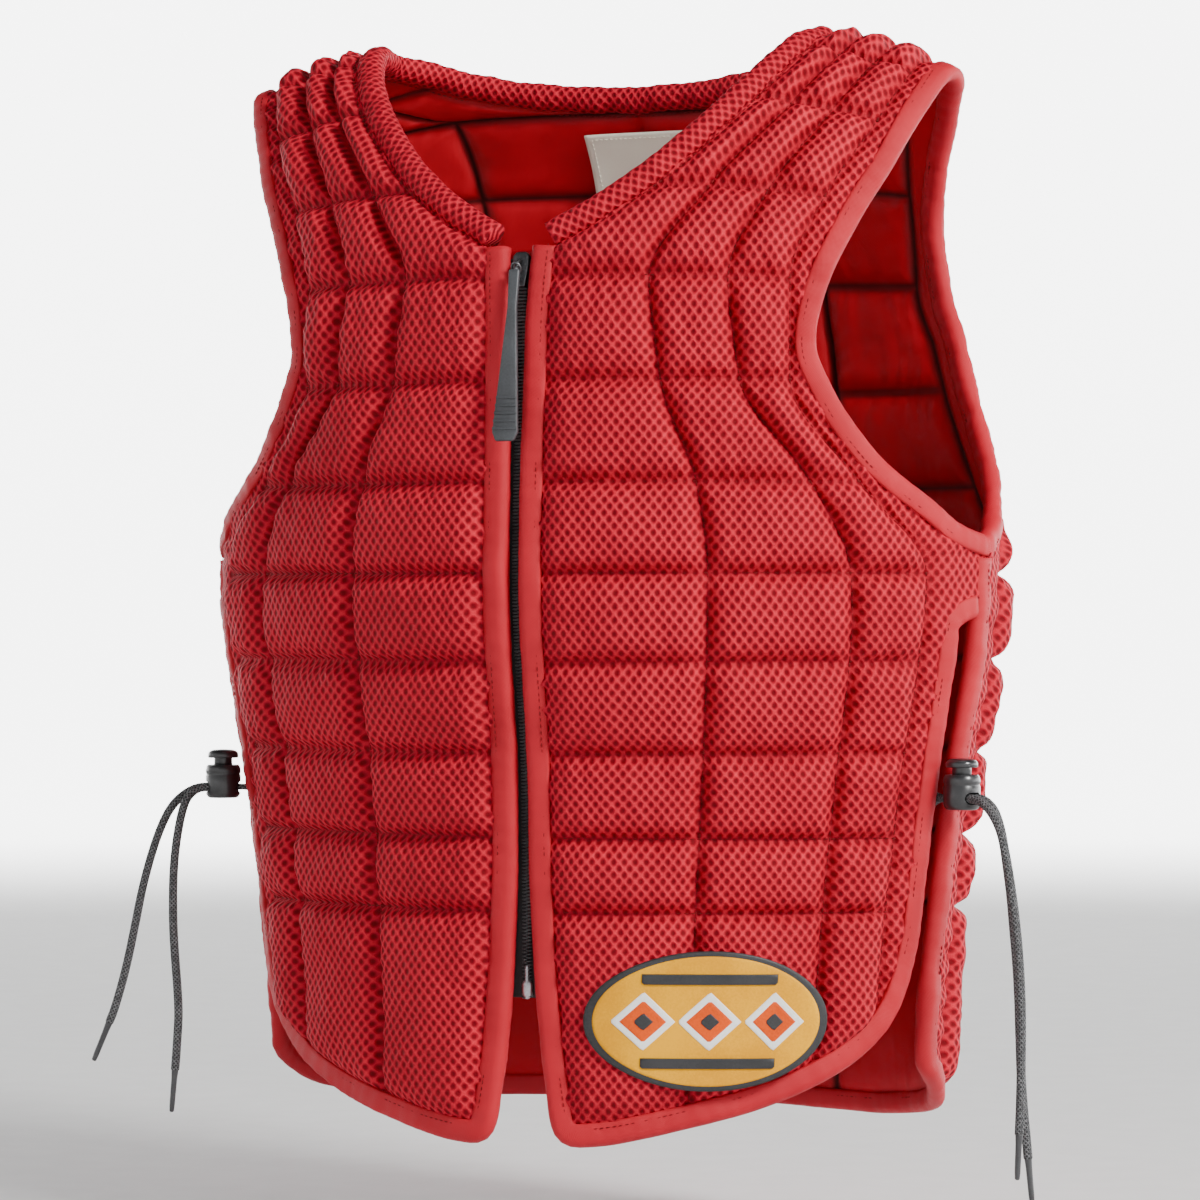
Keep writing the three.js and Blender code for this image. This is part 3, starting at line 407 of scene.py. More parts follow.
def settle(piece: Piece, slot: str, *nodes: str, finish: str = "", body: str = "root") -> Piece:
    """Places a finished piece in the frame and logs it.

    Args:
        piece: The piece.
        slot: A material slot's name; not used.
        nodes: CAD nodes that it replaces.
        finish: Its finish, where it has none yet.
        body: The body it moves with.

    Returns:
        The piece.
    """
    if finish:
        shade(piece, FINISH[finish])
    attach(piece, body)
    if nodes:
        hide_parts(*nodes)
    LOG.info("%s: %d faces on %s", piece.name, len(piece.data.polygons), body)
    return piece


def mend_normals(piece: Piece, merge: float = 1e-6) -> Piece:
    """Merges doubled points and turns faces outwards.

    Args:
        piece: The piece.
        merge: Distance below which points are one.

    Returns:
        The piece.
    """
    work = bmesh.new()
    work.from_mesh(piece.data)
    bmesh.ops.remove_doubles(work, verts=work.verts, dist=merge)
    bmesh.ops.recalc_face_normals(work, faces=work.faces)
    work.to_mesh(piece.data)
    work.free()
    return piece


def resample(path: Array, step: float, closed: bool = False) -> Array:
    """Spaces points evenly along a path.

    Args:
        path: Points, which may carry further columns.
        step: Spacing.
        closed: Joins the end to the start.

    Returns:
        The new points.
    """
    if closed:
        path = np.concatenate([path, path[:1]])
    lengths = along(path)
    count = max(3, int(round(lengths[-1] / step)) + 1)
    where = np.linspace(0, lengths[-1], count)
    made = np.stack([np.interp(where, lengths, path[:, k]) for k in range(path.shape[1])], axis=1)
    return made[:-1] if closed else made


def soften(values: Array, passes: int, closed: bool = False) -> Array:
    """Evens vectors out along a path, and keeps their ends.

    Args:
        values: One row for each point.
        passes: How many times neighbours are averaged.
        closed: True on a loop.

    Returns:
        The evened rows.
    """
    for _ in range(passes):
        before = np.roll(values, 1, axis=0)
        after = np.roll(values, -1, axis=0)
        fresh = (before + 2 * values + after) / 4
        if not closed:
            fresh[0], fresh[-1] = values[0], values[-1]
        values = fresh
    return values


def along(path: Array) -> Array:
    """Lengths along a path from its start to each point."""
    return np.concatenate([[0], np.cumsum(np.linalg.norm(np.diff(path[:, :3], axis=0), axis=1))])


def circle(sides: int) -> Array:
    """Evenly spaced angles once round."""
    return np.linspace(0, 2 * math.pi, sides + 1)[:-1]


def ends_of(rings: int, sides: int) -> Faces:
    """The two end faces of rings of points."""
    return [tuple(range(sides))[::-1], tuple((rings - 1) * sides + k for k in range(sides))]


def unit(vectors: Array) -> Array:
    """Scales vectors to length one."""
    return vectors / np.maximum(np.linalg.norm(vectors, axis=-1, keepdims=True), 1e-12)


def spline(points: Array, steps: int = 10) -> Array:
    """Draws a smooth curve through given points.

    Args:
        points: The points.
        steps: New points in each span.

    Returns:
        Points along the curve.
    """
    ends = np.concatenate([[2 * points[0] - points[1]], points, [2 * points[-1] - points[-2]]])
    made = []
    for i in range(1, len(ends) - 2):
        a, b, c, d = ends[i - 1], ends[i], ends[i + 1], ends[i + 2]
        for t in np.linspace(0, 1, steps, endpoint=False):
            bend = (2 * a - 5 * b + 4 * c - d) * t**2 + (3 * b - a - 3 * c + d) * t**3
            made.append(0.5 * (2 * b + (c - a) * t + bend))
    return np.array([*made, ends[-2]])


def tube(name: str, path: Array, radius: Array | float, sides: int = 12) -> Piece:
    """Skins a round tube along a path, with rounded ends.

    Args:
        name: The piece's name.
        path: Points along the middle.
        radius: One radius, or one for each point.
        sides: Points round it.

    Returns:
        The tube, with lengths along and round it in its UV map.
    """
    radii = np.broadcast_to(np.asarray(radius, float), len(path))
    tangents = unit(np.gradient(path, axis=0))
    side = unit(np.cross(tangents[0], (0.31, 0.9, 0.2)))
    angles = np.arange(sides + 1) * 2 * math.pi / sides
    lengths = along(path)
    rings, uvs = [], []
    for i, (point, tangent, wide) in enumerate(zip(path, tangents, radii)):
        side = unit(side - tangent * np.dot(side, tangent))
        third = np.cross(tangent, side)
        rings.append(point + wide * (np.cos(angles)[:, None] * side + np.sin(angles)[:, None] * third))
        uvs.append(np.stack([np.full(sides + 1, lengths[i]), angles * radii.mean()], axis=1))
    caps = []
    for end, tangent, wide in ((0, -tangents[0], radii[0]), (-1, tangents[-1], radii[-1])):
        middle = path[end]
        for share in (0.5, 0.85, 1.0):
            lift = wide * math.sin(share * math.pi / 2) * 0.5
            narrow = max(0.02, math.cos(share * math.pi / 2))
            caps.append((end, middle + (rings[end] - middle) * narrow + tangent * lift))
    first = [ring for end, ring in caps if end == 0][::-1]
    last = [ring for end, ring in caps if end == -1]
    rings = first + rings + last
    uvs = [uvs[0]] * len(first) + uvs + [uvs[-1]] * len(last)
    faces = grid_faces(len(rings), sides + 1)
    top = (len(rings) - 1) * (sides + 1)
    faces += [tuple(range(sides))[::-1], tuple(top + k for k in range(sides))]
    made = mesh_object(name, np.concatenate(rings), faces, np.concatenate(uvs))
    return mend_normals(made)


@dataclass(frozen=True)
class Edge:
    """A panel's edge: its points with the wall's direction and the direction out of the panel at each."""

    points: Array
    thick: Array
    out: Array
    closed: bool = False


def edge_along(points: Array, thick: Array, hint: Array, closed: bool = False, step: float = 0.0024) -> Edge:
    """Prepares an edge for a binding.

    Args:
        points: Points along the panel's edge.
        thick: The wall's outward direction at each.
        hint: A direction out of the panel at the first point.
        closed: True where the edge is a loop.
        step: Spacing of the binding's rings.

    Returns:
        The edge, with its corners eased.
    """
    both = resample(np.concatenate([points, thick], axis=1), step, closed)
    points, thick = both[:, :3], unit(both[:, 3:])
    if closed:
        tangents = unit(np.roll(points, -1, axis=0) - np.roll(points, 1, axis=0))
    else:
        tangents = unit(np.gradient(points, axis=0))
    out = unit(np.cross(thick, tangents))
    if np.dot(out[0], hint) < 0:
        out = -out
    out = unit(soften(out, 8, closed))
    return Edge(soften(points, 2, closed), thick, out, closed)


def strip_along(name: str, edge: Edge, profile: Array, pucker: float, seed: int) -> Piece:
    """Sweeps a folded strip along an edge.

    Args:
        name: The piece's name.
        edge: The edge that it follows.
        profile: Closed outline as (far out of the panel, high through the wall), in metres.
        pucker: Height of the small puckers that its stitches draw.
        seed: Fixed seed.

    Returns:
        The strip.
    """
    count, size = len(edge.points), len(profile)
    u, v = np.meshgrid(along(edge.points), along(profile), indexing="ij")
    far = profile[:, 0][None, :] + 0.5 * pucker * ripple(u, v, 0.03, seed)
    high = profile[:, 1][None, :] * (1 + 0.1 * ripple(u, v * 0.3, 0.02, seed + 1))
    wave = np.sin(u * 2 * math.pi / 0.0085 + 2 * ripple(u, v, 0.04, seed + 2))
    high = high + np.sign(profile[:, 1])[None, :] * pucker * wave
    points = edge.points[:, None] + edge.out[:, None] * far[..., None]
    points = points + edge.thick[:, None] * high[..., None]
    uvs = np.stack([u, v], axis=-1).reshape(-1, 2)
    faces = grid_faces(count, size, joined=True)
    if edge.closed:
        last = (count - 1) * size
        faces += [(last + j, last + (j + 1) % size, (j + 1) % size, j) for j in range(size)]
    else:
        faces += ends_of(count, size)
    made = mesh_object(name, points.reshape(-1, 3), faces, uvs)
    return mend_normals(made, 1e-7)


# Node trees


class Nodes:
    """Builds a node tree in few words."""

    def __init__(self, tree: bpy.types.NodeTree) -> None:
        """Keeps the tree."""
        self.tree = tree

    def add(
        self, kind: str, inputs: dict[int | str, object] | None = None, **settings: object
    ) -> bpy.types.Node:
        """Adds a node.

        Args:
            kind: The node's type.
            inputs: Values or sockets for its inputs.
            settings: The node's own settings.

        Returns:
            The node.
        """
        node = self.tree.nodes.new(kind)
        for key, value in settings.items():
            setattr(node, key, value)
        for key, value in (inputs or {}).items():
            if isinstance(value, Socket):
                self.tree.links.new(value, node.inputs[key])
            else:
                node.inputs[key].default_value = value
        return node

    def math(self, operation: str, first: object, second: object = 0.0, third: object = 0.0) -> Socket:
        """Adds a math node and returns its output."""
        return self.add("ShaderNodeMath", {0: first, 1: second, 2: third}, operation=operation).outputs[0]

    def times(self, first: object, second: object) -> Socket:
        """Multiplies two values."""
        return self.math("MULTIPLY", first, second)

    def plus(self, first: object, second: object) -> Socket:
        """Adds two values."""
        return self.math("ADD", first, second)

    def minus(self, first: object, second: object) -> Socket:
        """Takes the second value from the first."""
        return self.math("SUBTRACT", first, second)

    def length(self, first: object, second: object) -> Socket:
        """The length of a flat vector."""
        squares = [self.math("POWER", part, 2.0) for part in (first, second)]
        return self.math("SQRT", self.plus(*squares))

    def place(self) -> Socket:
        """Places in the object's own coordinates."""
        return self.add("ShaderNodeTexCoord").outputs["Object"]

    def cloth(self) -> tuple[Socket, Socket]:
        """Lengths across and up the cloth, from its UV map."""
        flat = self.add("ShaderNodeTexCoord").outputs["UV"]
        parts = self.add("ShaderNodeSeparateXYZ", {0: flat}).outputs
        return parts[0], parts[1]

    def blend(self, factor: object, first: object, second: object) -> Socket:
        """Mixes two colours and returns the result."""
        node = self.add("ShaderNodeMix", data_type="RGBA")
        for socket, value in ((node.inputs[0], factor), (node.inputs[6], first), (node.inputs[7], second)):
            if isinstance(value, Socket):
                self.tree.links.new(value, socket)
            else:
                socket.default_value = value
        return node.outputs[2]

    def ramp(self, value: object, low: float, high: float, least: float = 0.0, most: float = 1.0) -> Socket:
        """Maps a range smoothly and returns the result."""
        inputs = {"Value": value, "From Min": low, "From Max": high, "To Min": least, "To Max": most}
        return self.add("ShaderNodeMapRange", inputs, interpolation_type="SMOOTHSTEP").outputs[0]

    def noise(self, scale: float, detail: float = 2.0) -> Socket:
        """Adds noise in the object's own coordinates and returns its value."""
        inputs = {"Vector": self.place(), "Scale": scale, "Detail": detail}
        return self.add("ShaderNodeTexNoise", inputs).outputs[0]


def opaque(red: float, green: float, blue: float) -> tuple[float, float, float, float]:
    """A colour with full cover."""
    return (red, green, blue, 1.0)


def grey(tone: float, tint: float = 0.0) -> tuple[float, float, float, float]:
    """A grey with a little more blue."""
    return opaque(tone, tone, tone + tint)


@dataclass(frozen=True)
class Finish:
    """A surface finish. Each kind adds its own pattern."""

    name: str
    color: tuple[float, float, float, float]
    dark: tuple[float, float, float, float]
    roughness: float = 0.6
    metallic: float = 0.0
    coat: float = 0.0
    bump: float = 0.4
    depth: float = 0.0003
    specular: float = 0.5

    def pattern(self, nodes: Nodes) -> tuple[Socket, Socket]:
        """Draws the pattern.

        Args:
            nodes: The tree to draw in.

        Returns:
            How far each spot is from the dark colour to the full one, and its height.
        """
        grain = nodes.noise(900.0, 3.0)
        cloud = nodes.noise(35.0)
        return nodes.ramp(nodes.plus(nodes.times(grain, 0.5), cloud), 0.5, 1.0), grain

    def make(self) -> Material:
        """Makes the material.

        Returns:
            The material.
        """
        made = bpy.data.materials.new(self.name)
        made.use_nodes = True
        made.node_tree.nodes.clear()
        nodes = Nodes(made.node_tree)
        share, height = self.pattern(nodes)
        color = nodes.blend(share, self.dark, self.color)
        rough = nodes.ramp(share, 0.0, 1.0, min(1.0, self.roughness + 0.15), self.roughness)
        bump = nodes.add("ShaderNodeBump", {"Height": height, "Strength": self.bump, "Distance": self.depth})
        inputs = {
            "Base Color": color, "Roughness": rough, "Normal": bump.outputs[0], "Metallic": self.metallic,
            "Specular IOR Level": self.specular, "Coat Weight": self.coat, "Coat Roughness": 0.12,
        }
        shader = nodes.add("ShaderNodeBsdfPrincipled", inputs)
        nodes.add("ShaderNodeOutputMaterial", {"Surface": shader.outputs[0]})
        self.finish(nodes, shader)
        return made

    def finish(self, nodes: Nodes, shader: bpy.types.Node) -> None:
        """Adds what only one kind of finish has.

        Args:
            nodes: The tree.
            shader: Its surface shader.
        """


@dataclass(frozen=True)
class Backdrop(Finish):
    """A pale studio floor and wall that glow at the horizon, most of all behind the vest."""

    glow: float = 5.0

    def finish(self, nodes: Nodes, shader: bpy.types.Node) -> None:
        """Lets the far wall glow.

        Args:
            nodes: The tree.
            shader: Its surface shader.
        """
        across, deep, high = nodes.add("ShaderNodeSeparateXYZ", {0: nodes.place()}).outputs
        behind = nodes.ramp(deep, -1.0, 3.0, 0.14, 1.0)
        around = nodes.times(nodes.ramp(nodes.length(across, deep), 2.4, 4.4, 0.04, 1.0), behind)
        glow = nodes.times(around, nodes.ramp(high, 0.8, 1.3, 1.0, 0.0))
        shader.inputs["Emission Color"].default_value = opaque(1.0, 1.0, 1.0)
        nodes.tree.links.new(nodes.times(glow, self.glow), shader.inputs["Emission Strength"])


def groove_shade(nodes: Nodes, share: Socket, least: float) -> Socket:
    """Darkens cloth along its quilting lines as painted shade in the grooves.

    Args:
        nodes: The tree to draw in.
        share: The cloth's colour share.
        least: How much colour is left at the stitches.

    Returns:
        The new colour share.
    """
    groove = nodes.add("ShaderNodeAttribute", attribute_name="groove").outputs["Fac"]
    return nodes.times(share, nodes.ramp(groove, 0.0, 0.9, least, 1.0))


@dataclass(frozen=True)
class AirMesh(Finish):
    """Knitted mesh with staggered oval holes, dark partly from the pad below and partly as painted shade,
    and threads painted lighter towards their crossings as a highlight.
    """

    quilted: bool = False
    pitch_across: float = 0.0049
    pitch_up: float = 0.0062
    hole_wide: float = 0.0023
    hole_high: float = 0.003

    def pattern(self, nodes: Nodes) -> tuple[Socket, Socket]:
        """Draws the holes and the threads between them.

        Args:
            nodes: The tree to draw in.

        Returns:
            Colour share and height.
        """
        flat_across, flat_up = nodes.cloth()
        wander = nodes.times(nodes.noise(40.0), 0.5)
        across = nodes.plus(nodes.math("DIVIDE", flat_across, self.pitch_across), wander)
        up = nodes.math("DIVIDE", flat_up, self.pitch_up)
        rates = (2 * self.pitch_across / self.hole_wide, 2 * self.pitch_up / self.hole_high)
        holes = []
        for shift in (0.0, 0.5):
            cells = [nodes.minus(nodes.math("FRACT", nodes.plus(k, shift)), 0.5) for k in (across, up)]
            holes.append(nodes.length(*(nodes.times(cell, rate) for cell, rate in zip(cells, rates))))
        # The holes' dark colour is partly the pad below and partly painted shade; the slow rise of colour
        # from hole to thread crossing is a painted highlight.
        solid = nodes.ramp(nodes.math("MINIMUM", *holes), 0.35, 1.75)
        thread = nodes.noise(1400.0)
        cloud = nodes.noise(18.0)
        tone = nodes.plus(nodes.times(thread, 0.5), nodes.times(cloud, 0.5))
        share = nodes.times(solid, nodes.ramp(tone, 0.25, 0.7, 0.6, 1.0))
        # Quilted mesh gets painted shade along its quilting grooves.
        if self.quilted:
            share = groove_shade(nodes, share, 0.6)
        height = nodes.plus(solid, nodes.times(thread, 0.25))
        return share, height


@dataclass(frozen=True)
class Woven(Finish):
    """Plain or satin weave drawn along the cloth's own lengths."""

    quilted: bool = False
    thread: float = 0.0009
    slant: float = 0.4
    contrast: float = 0.35
    least: float = 0.45

    def pattern(self, nodes: Nodes) -> tuple[Socket, Socket]:
        """Draws crossing threads.

        Args:
            nodes: The tree to draw in.

        Returns:
            Colour share and height.
        """
        rate = 2 * math.pi / self.thread
        along, across = (nodes.times(part, rate) for part in nodes.cloth())
        warp = nodes.math("SINE", nodes.plus(along, nodes.times(across, self.slant)))
        weft = nodes.math("SINE", nodes.minus(across, nodes.times(along, self.slant)))
        weave = nodes.ramp(nodes.times(warp, weft), -1.0, 1.0)
        tone = nodes.plus(nodes.times(weave, self.contrast), nodes.noise(22.0))
        share = nodes.ramp(tone, 0.3, 0.75 + self.contrast * 0.5, self.least, 1.0)
        # Quilted lining gets painted shade along its grooves, nearly down to its dark colour.
        return (groove_shade(nodes, share, 0.05) if self.quilted else share), weave


@dataclass(frozen=True)
class Braid(Finish):
    """A braided cord's crossing strands, with flecks of a lighter thread."""

    strand: float = 0.0021

    def pattern(self, nodes: Nodes) -> tuple[Socket, Socket]:
        """Draws the strands.

        Args:
            nodes: The tree to draw in.

        Returns:
            Colour share and height.
        """
        along, across = nodes.cloth()
        rate = 2 * math.pi / self.strand
        slants = (nodes.plus(along, across), nodes.minus(along, across))
        waves = [nodes.math("SINE", nodes.times(slant, rate)) for slant in slants]
        strands = nodes.ramp(nodes.math("MAXIMUM", *waves), -0.2, 1.0)
        fleck = nodes.noise(700.0, 1.0)
        return nodes.times(strands, nodes.ramp(fleck, 0.35, 0.65, 0.35, 1.0)), strands


RED = opaque(0.62, 0.012, 0.034)
# Hole colour of the mesh: partly the pad below, partly painted shade.
DARK_RED = opaque(0.14, 0.0, 0.004)
LINING_RED = opaque(0.44, 0.004, 0.014)


@dataclass(frozen=True)
class Palette:
    """All finishes of the protector."""

    mesh: Finish = AirMesh(
        "air_mesh", RED, DARK_RED, 0.6, bump=0.9, depth=0.0009, specular=0.12, quilted=True
    )
    roll: Finish = AirMesh("air_mesh_roll", RED, DARK_RED, 0.6, bump=0.9, depth=0.0009, specular=0.12)
    lining: Finish = Woven(
        "satin_lining", LINING_RED, opaque(0.02, 0.001, 0.001), 0.42,
        bump=0.25, specular=0.14, quilted=True, least=0.78,
    )
    guard: Finish = Woven(
        "guard_satin", LINING_RED, opaque(0.12, 0.002, 0.003), 0.42, bump=0.25, specular=0.14, least=0.7
    )
    binding: Finish = Woven(
        "binding_weave", opaque(0.47, 0.009, 0.021), opaque(0.26, 0.003, 0.009), 0.5, bump=0.4, specular=0.22
    )
    thread: Finish = Finish(
        "sewing_thread", opaque(0.2, 0.003, 0.006), opaque(0.09, 0.002, 0.003), 0.6, specular=0.2
    )
    zip_cloth: Finish = Woven(
        "zip_cloth", opaque(0.035, 0.03, 0.032), opaque(0.012, 0.01, 0.011), 0.8, thread=0.0012, bump=0.6
    )
    coil: Finish = Finish("zip_coil", grey(0.1, 0.005), grey(0.03, 0.002), 0.3, coat=0.3)
    metal: Finish = Finish("slider_metal", grey(0.2, 0.01), grey(0.07, 0.005), 0.3, metallic=1.0, bump=0.15)
    steel: Finish = Finish("zip_steel", grey(0.55, 0.02), grey(0.3, 0.02), 0.3, metallic=1.0, bump=0.1)
    pull: Finish = Finish(
        "pull_rubber", opaque(0.055, 0.06, 0.066), opaque(0.03, 0.032, 0.036), 0.42, bump=0.2
    )
    label: Finish = Woven(
        "label_cloth", opaque(0.82, 0.8, 0.68), opaque(0.62, 0.6, 0.48), 0.8, thread=0.0008, contrast=0.5
    )
    lock: Finish = Finish("lock_plastic", grey(0.018, 0.002), grey(0.008, 0.001), 0.28, coat=0.4, bump=0.12)
    cord: Finish = Braid("braided_cord", grey(0.16, 0.005), grey(0.018, 0.002), 0.7, bump=0.9, depth=0.0006)
    tip: Finish = Finish("cord_tip", grey(0.045, 0.003), grey(0.02, 0.002), 0.35)
    badge_black: Finish = Finish("badge_black", grey(0.02, 0.002), grey(0.01, 0.001), 0.45, bump=0.2)
    badge_yellow: Finish = Finish(
        "badge_yellow", opaque(0.78, 0.36, 0.0), opaque(0.62, 0.26, 0.0), 0.5, bump=0.2, specular=0.15
    )
    badge_orange: Finish = Finish(
        "badge_orange", opaque(0.7, 0.08, 0.002), opaque(0.5, 0.05, 0.001), 0.5, bump=0.2, specular=0.15
    )
    badge_white: Finish = Finish(
        "badge_white", opaque(0.85, 0.84, 0.8), opaque(0.7, 0.69, 0.65), 0.45, bump=0.2
    )


class Finishes:
    """Makes each material once."""

    def __init__(self, palette: Palette) -> None:
        """Keeps the palette."""
        self.palette = palette
        self.made: dict[str, Material] = {}

    def __getitem__(self, name: str) -> Material:
        """The material of one finish, made on first use."""
        if name not in self.made:
            self.made[name] = getattr(self.palette, name).make()
        return self.made[name]


FINISH = Finishes(Palette())


@dataclass(frozen=True)
class Repeat:
    """Lays one small rounded shape again and again along paths, with Geometry Nodes."""

    pitch: float
    along: float
    deep: float
    wide: float
    rings: int = 1

    def tree(self, material: Material) -> bpy.types.NodeTree:
        """Builds the node tree.

        Args:
            material: The finish of the shapes.

        Returns:
            The tree, with named inputs for its sizes.
        """
        tree = bpy.data.node_groups.new("repeat_along", "GeometryNodeTree")
        sockets = (
            ("Paths", "INPUT", "Geometry"), ("Pitch", "INPUT", "Float"), ("Size", "INPUT", "Vector"),
            ("Shapes", "OUTPUT", "Geometry"),
        )
        for name, way, kind in sockets:
            tree.interface.new_socket(name=name, in_out=way, socket_type=f"NodeSocket{kind}")
        nodes = Nodes(tree)
        entry = nodes.add("NodeGroupInput")
        curves = nodes.add("GeometryNodeMeshToCurve", {"Mesh": entry.outputs["Paths"]})
        every = {"Curve": curves.outputs[0], "Length": entry.outputs["Pitch"]}
        spaced = nodes.add("GeometryNodeResampleCurve", every, mode="LENGTH")
        ball = nodes.add("GeometryNodeMeshIcoSphere", {"Radius": 0.5, "Subdivisions": self.rings})
        sized = {"Geometry": ball.outputs[0], "Scale": entry.outputs["Size"]}
        shape = nodes.add("GeometryNodeTransform", sized)
        smooth = nodes.add("GeometryNodeSetShadeSmooth", {"Geometry": shape.outputs[0]})
        tangent = nodes.add("GeometryNodeInputTangent")
        turned = nodes.add("FunctionNodeAlignRotationToVector", {"Vector": tangent.outputs[0]}, axis="X")
        placed = nodes.add(
            "GeometryNodeInstanceOnPoints",
            {"Points": spaced.outputs[0], "Instance": smooth.outputs[0], "Rotation": turned.outputs[0]},
        )
        real = nodes.add("GeometryNodeRealizeInstances", {"Geometry": placed.outputs[0]})
        dressed = nodes.add("GeometryNodeSetMaterial", {"Geometry": real.outputs[0], "Material": material})
        nodes.add("NodeGroupOutput", {0: dressed.outputs[0]})
        return tree

    def lay(self, name: str, paths: Sequence[Array], material: Material) -> Piece:
        """Lays the shapes and keeps them as a plain mesh.

        Args:
            name: The piece's name.
            paths: Polylines.
            material: The finish.

        Returns:
            The finished piece.
        """
        points = np.concatenate(paths)
        edges, start = [], 0
        for path in paths:
            edges += [(start + i, start + i + 1) for i in range(len(path) - 1)]
            start += len(path)
        mesh = bpy.data.meshes.new(name + "_paths")
        mesh.from_pydata(points.tolist(), edges, [])
        source = bpy.data.objects.new(name + "_paths", mesh)
        bpy.context.scene.collection.objects.link(source)
        modifier = source.modifiers.new("repeat", "NODES")
        modifier.node_group = self.tree(material)
        sizes = {"Pitch": self.pitch, "Size": (self.along, self.deep, self.wide)}
        for socket in modifier.node_group.interface.items_tree:
            if socket.name in sizes:
                modifier[socket.identifier] = sizes[socket.name]
        source.update_tag()
        depsgraph = bpy.context.evaluated_depsgraph_get()
        made = bpy.data.objects.new(name, bpy.data.meshes.new_from_object(source.evaluated_get(depsgraph)))
        bpy.context.scene.collection.objects.link(made)
        bpy.data.objects.remove(source)
        made.data.name = name
        if not made.data.materials:
            made.data.materials.append(material)
        return made


# The padded panels


@dataclass(frozen=True)
class Cut:
    """How one kind of panel is cut and quilted."""

    seams: tuple[float, ...]
    columns: tuple[Curve, ...]
    inner: Callable[[Array], Array]
    outer: Callable[[Array], Array]
    hem: Curve
    skirt_seam: float = 0.274

    def shifted(self, turn: Array, station: Array) -> Array:
        """Stations after the hem's curve.

        Args:
            turn: Turns in degrees.
            station: Stations of the straight panel.

        Returns:
            Stations of the cut panel.
        """
        return station + self.hem.at(turn) * np.maximum(0, 1 - station / self.skirt_seam)


@dataclass(frozen=True)
class Strap:
    """Edges shared by the front and back panels."""

    binding_width: float = 0.009

    def front_inner(self, station: Array) -> Array:
        """The front's edge beside the zip and round the neck.

        Args:
            station: Stations.

        Returns:
            Turns.
        """
        gap = FORM.half_width * ZIP_GAP.at(station) + self.binding_width
        beside = FORM.turn_at_width(gap / (FORM.half_width * FORM.level_width.at(station)), False)
        return np.where(station > V_STATION, FRONT_NECKLINE.at(station), beside)

    def back_ends(self) -> tuple[float, float]:
        """The turns at which the front's strap meets the back.

        Returns:
            Inner and outer turn.
        """
        inner = FORM.turn_at_width(FORM.girth_width.at(FRONT_NECKLINE.at(STRAP_END)), True)
        outer = FORM.turn_at_width(FORM.girth_width.at(FRONT_SIDE.at(STRAP_END)), True)
        return float(inner), float(outer)

    def back_inner(self) -> Callable[[Array], Array]:
        """The back's middle, and its edge round the neck.

        Returns:
            A function from station to turn.
        """
        neckline = table(
            (1.59, 180), (1.6, 170), (1.625, 160), (1.67, 151.5), (1.73, 146), (1.8, 142),
            (1.88, self.back_ends()[0]),
        )
        return lambda station: np.where(station < BACK_NECK_STATION, 180.0, neckline.at(station))

    def back_outer(self) -> Callable[[Array], Array]:
        """The back's edge beside the slit and round the armhole.

        Returns:
            A function from station to turn.
        """
        side = table(
            (0, 86.6), (0.721, 86.6), (0.734, 92.5), (0.768, 101), (0.83, 110), (0.91, 117.5),
            (0.977, 122), (1.1, 126.5), (1.253, 128), (1.437, 125.5), (1.6, 121), (1.774, 116.5),
            (1.88, self.back_ends()[1]),
        )
        return side.at


STRAP = Strap()
FRONT_CUT = Cut(
    FRONT_SEAMS,
    tuple(table(*FRONT_COLUMN_ROWS, column=k) for k in (1, 2, 3)),
    STRAP.front_inner,
    FRONT_SIDE.at,
    FRONT_HEM,
)
BACK_CUT = Cut(
    BACK_SEAMS,
    tuple(table(*BACK_COLUMN_ROWS, column=k) for k in (1, 2)),
    STRAP.back_inner(),
    STRAP.back_outer(),
    BACK_HEM,
)


class Side(Enum):
    """The wearer's sides."""

    LEFT = 1
    RIGHT = -1

    @property
    def word(self) -> str:
        """The side's name in pieces."""
        return self.name.lower()

    def place(self, points: Array) -> Array:
        """Mirrors points made on the wearer's left, where needed."""
        return points * np.array([self.value, 1, 1])


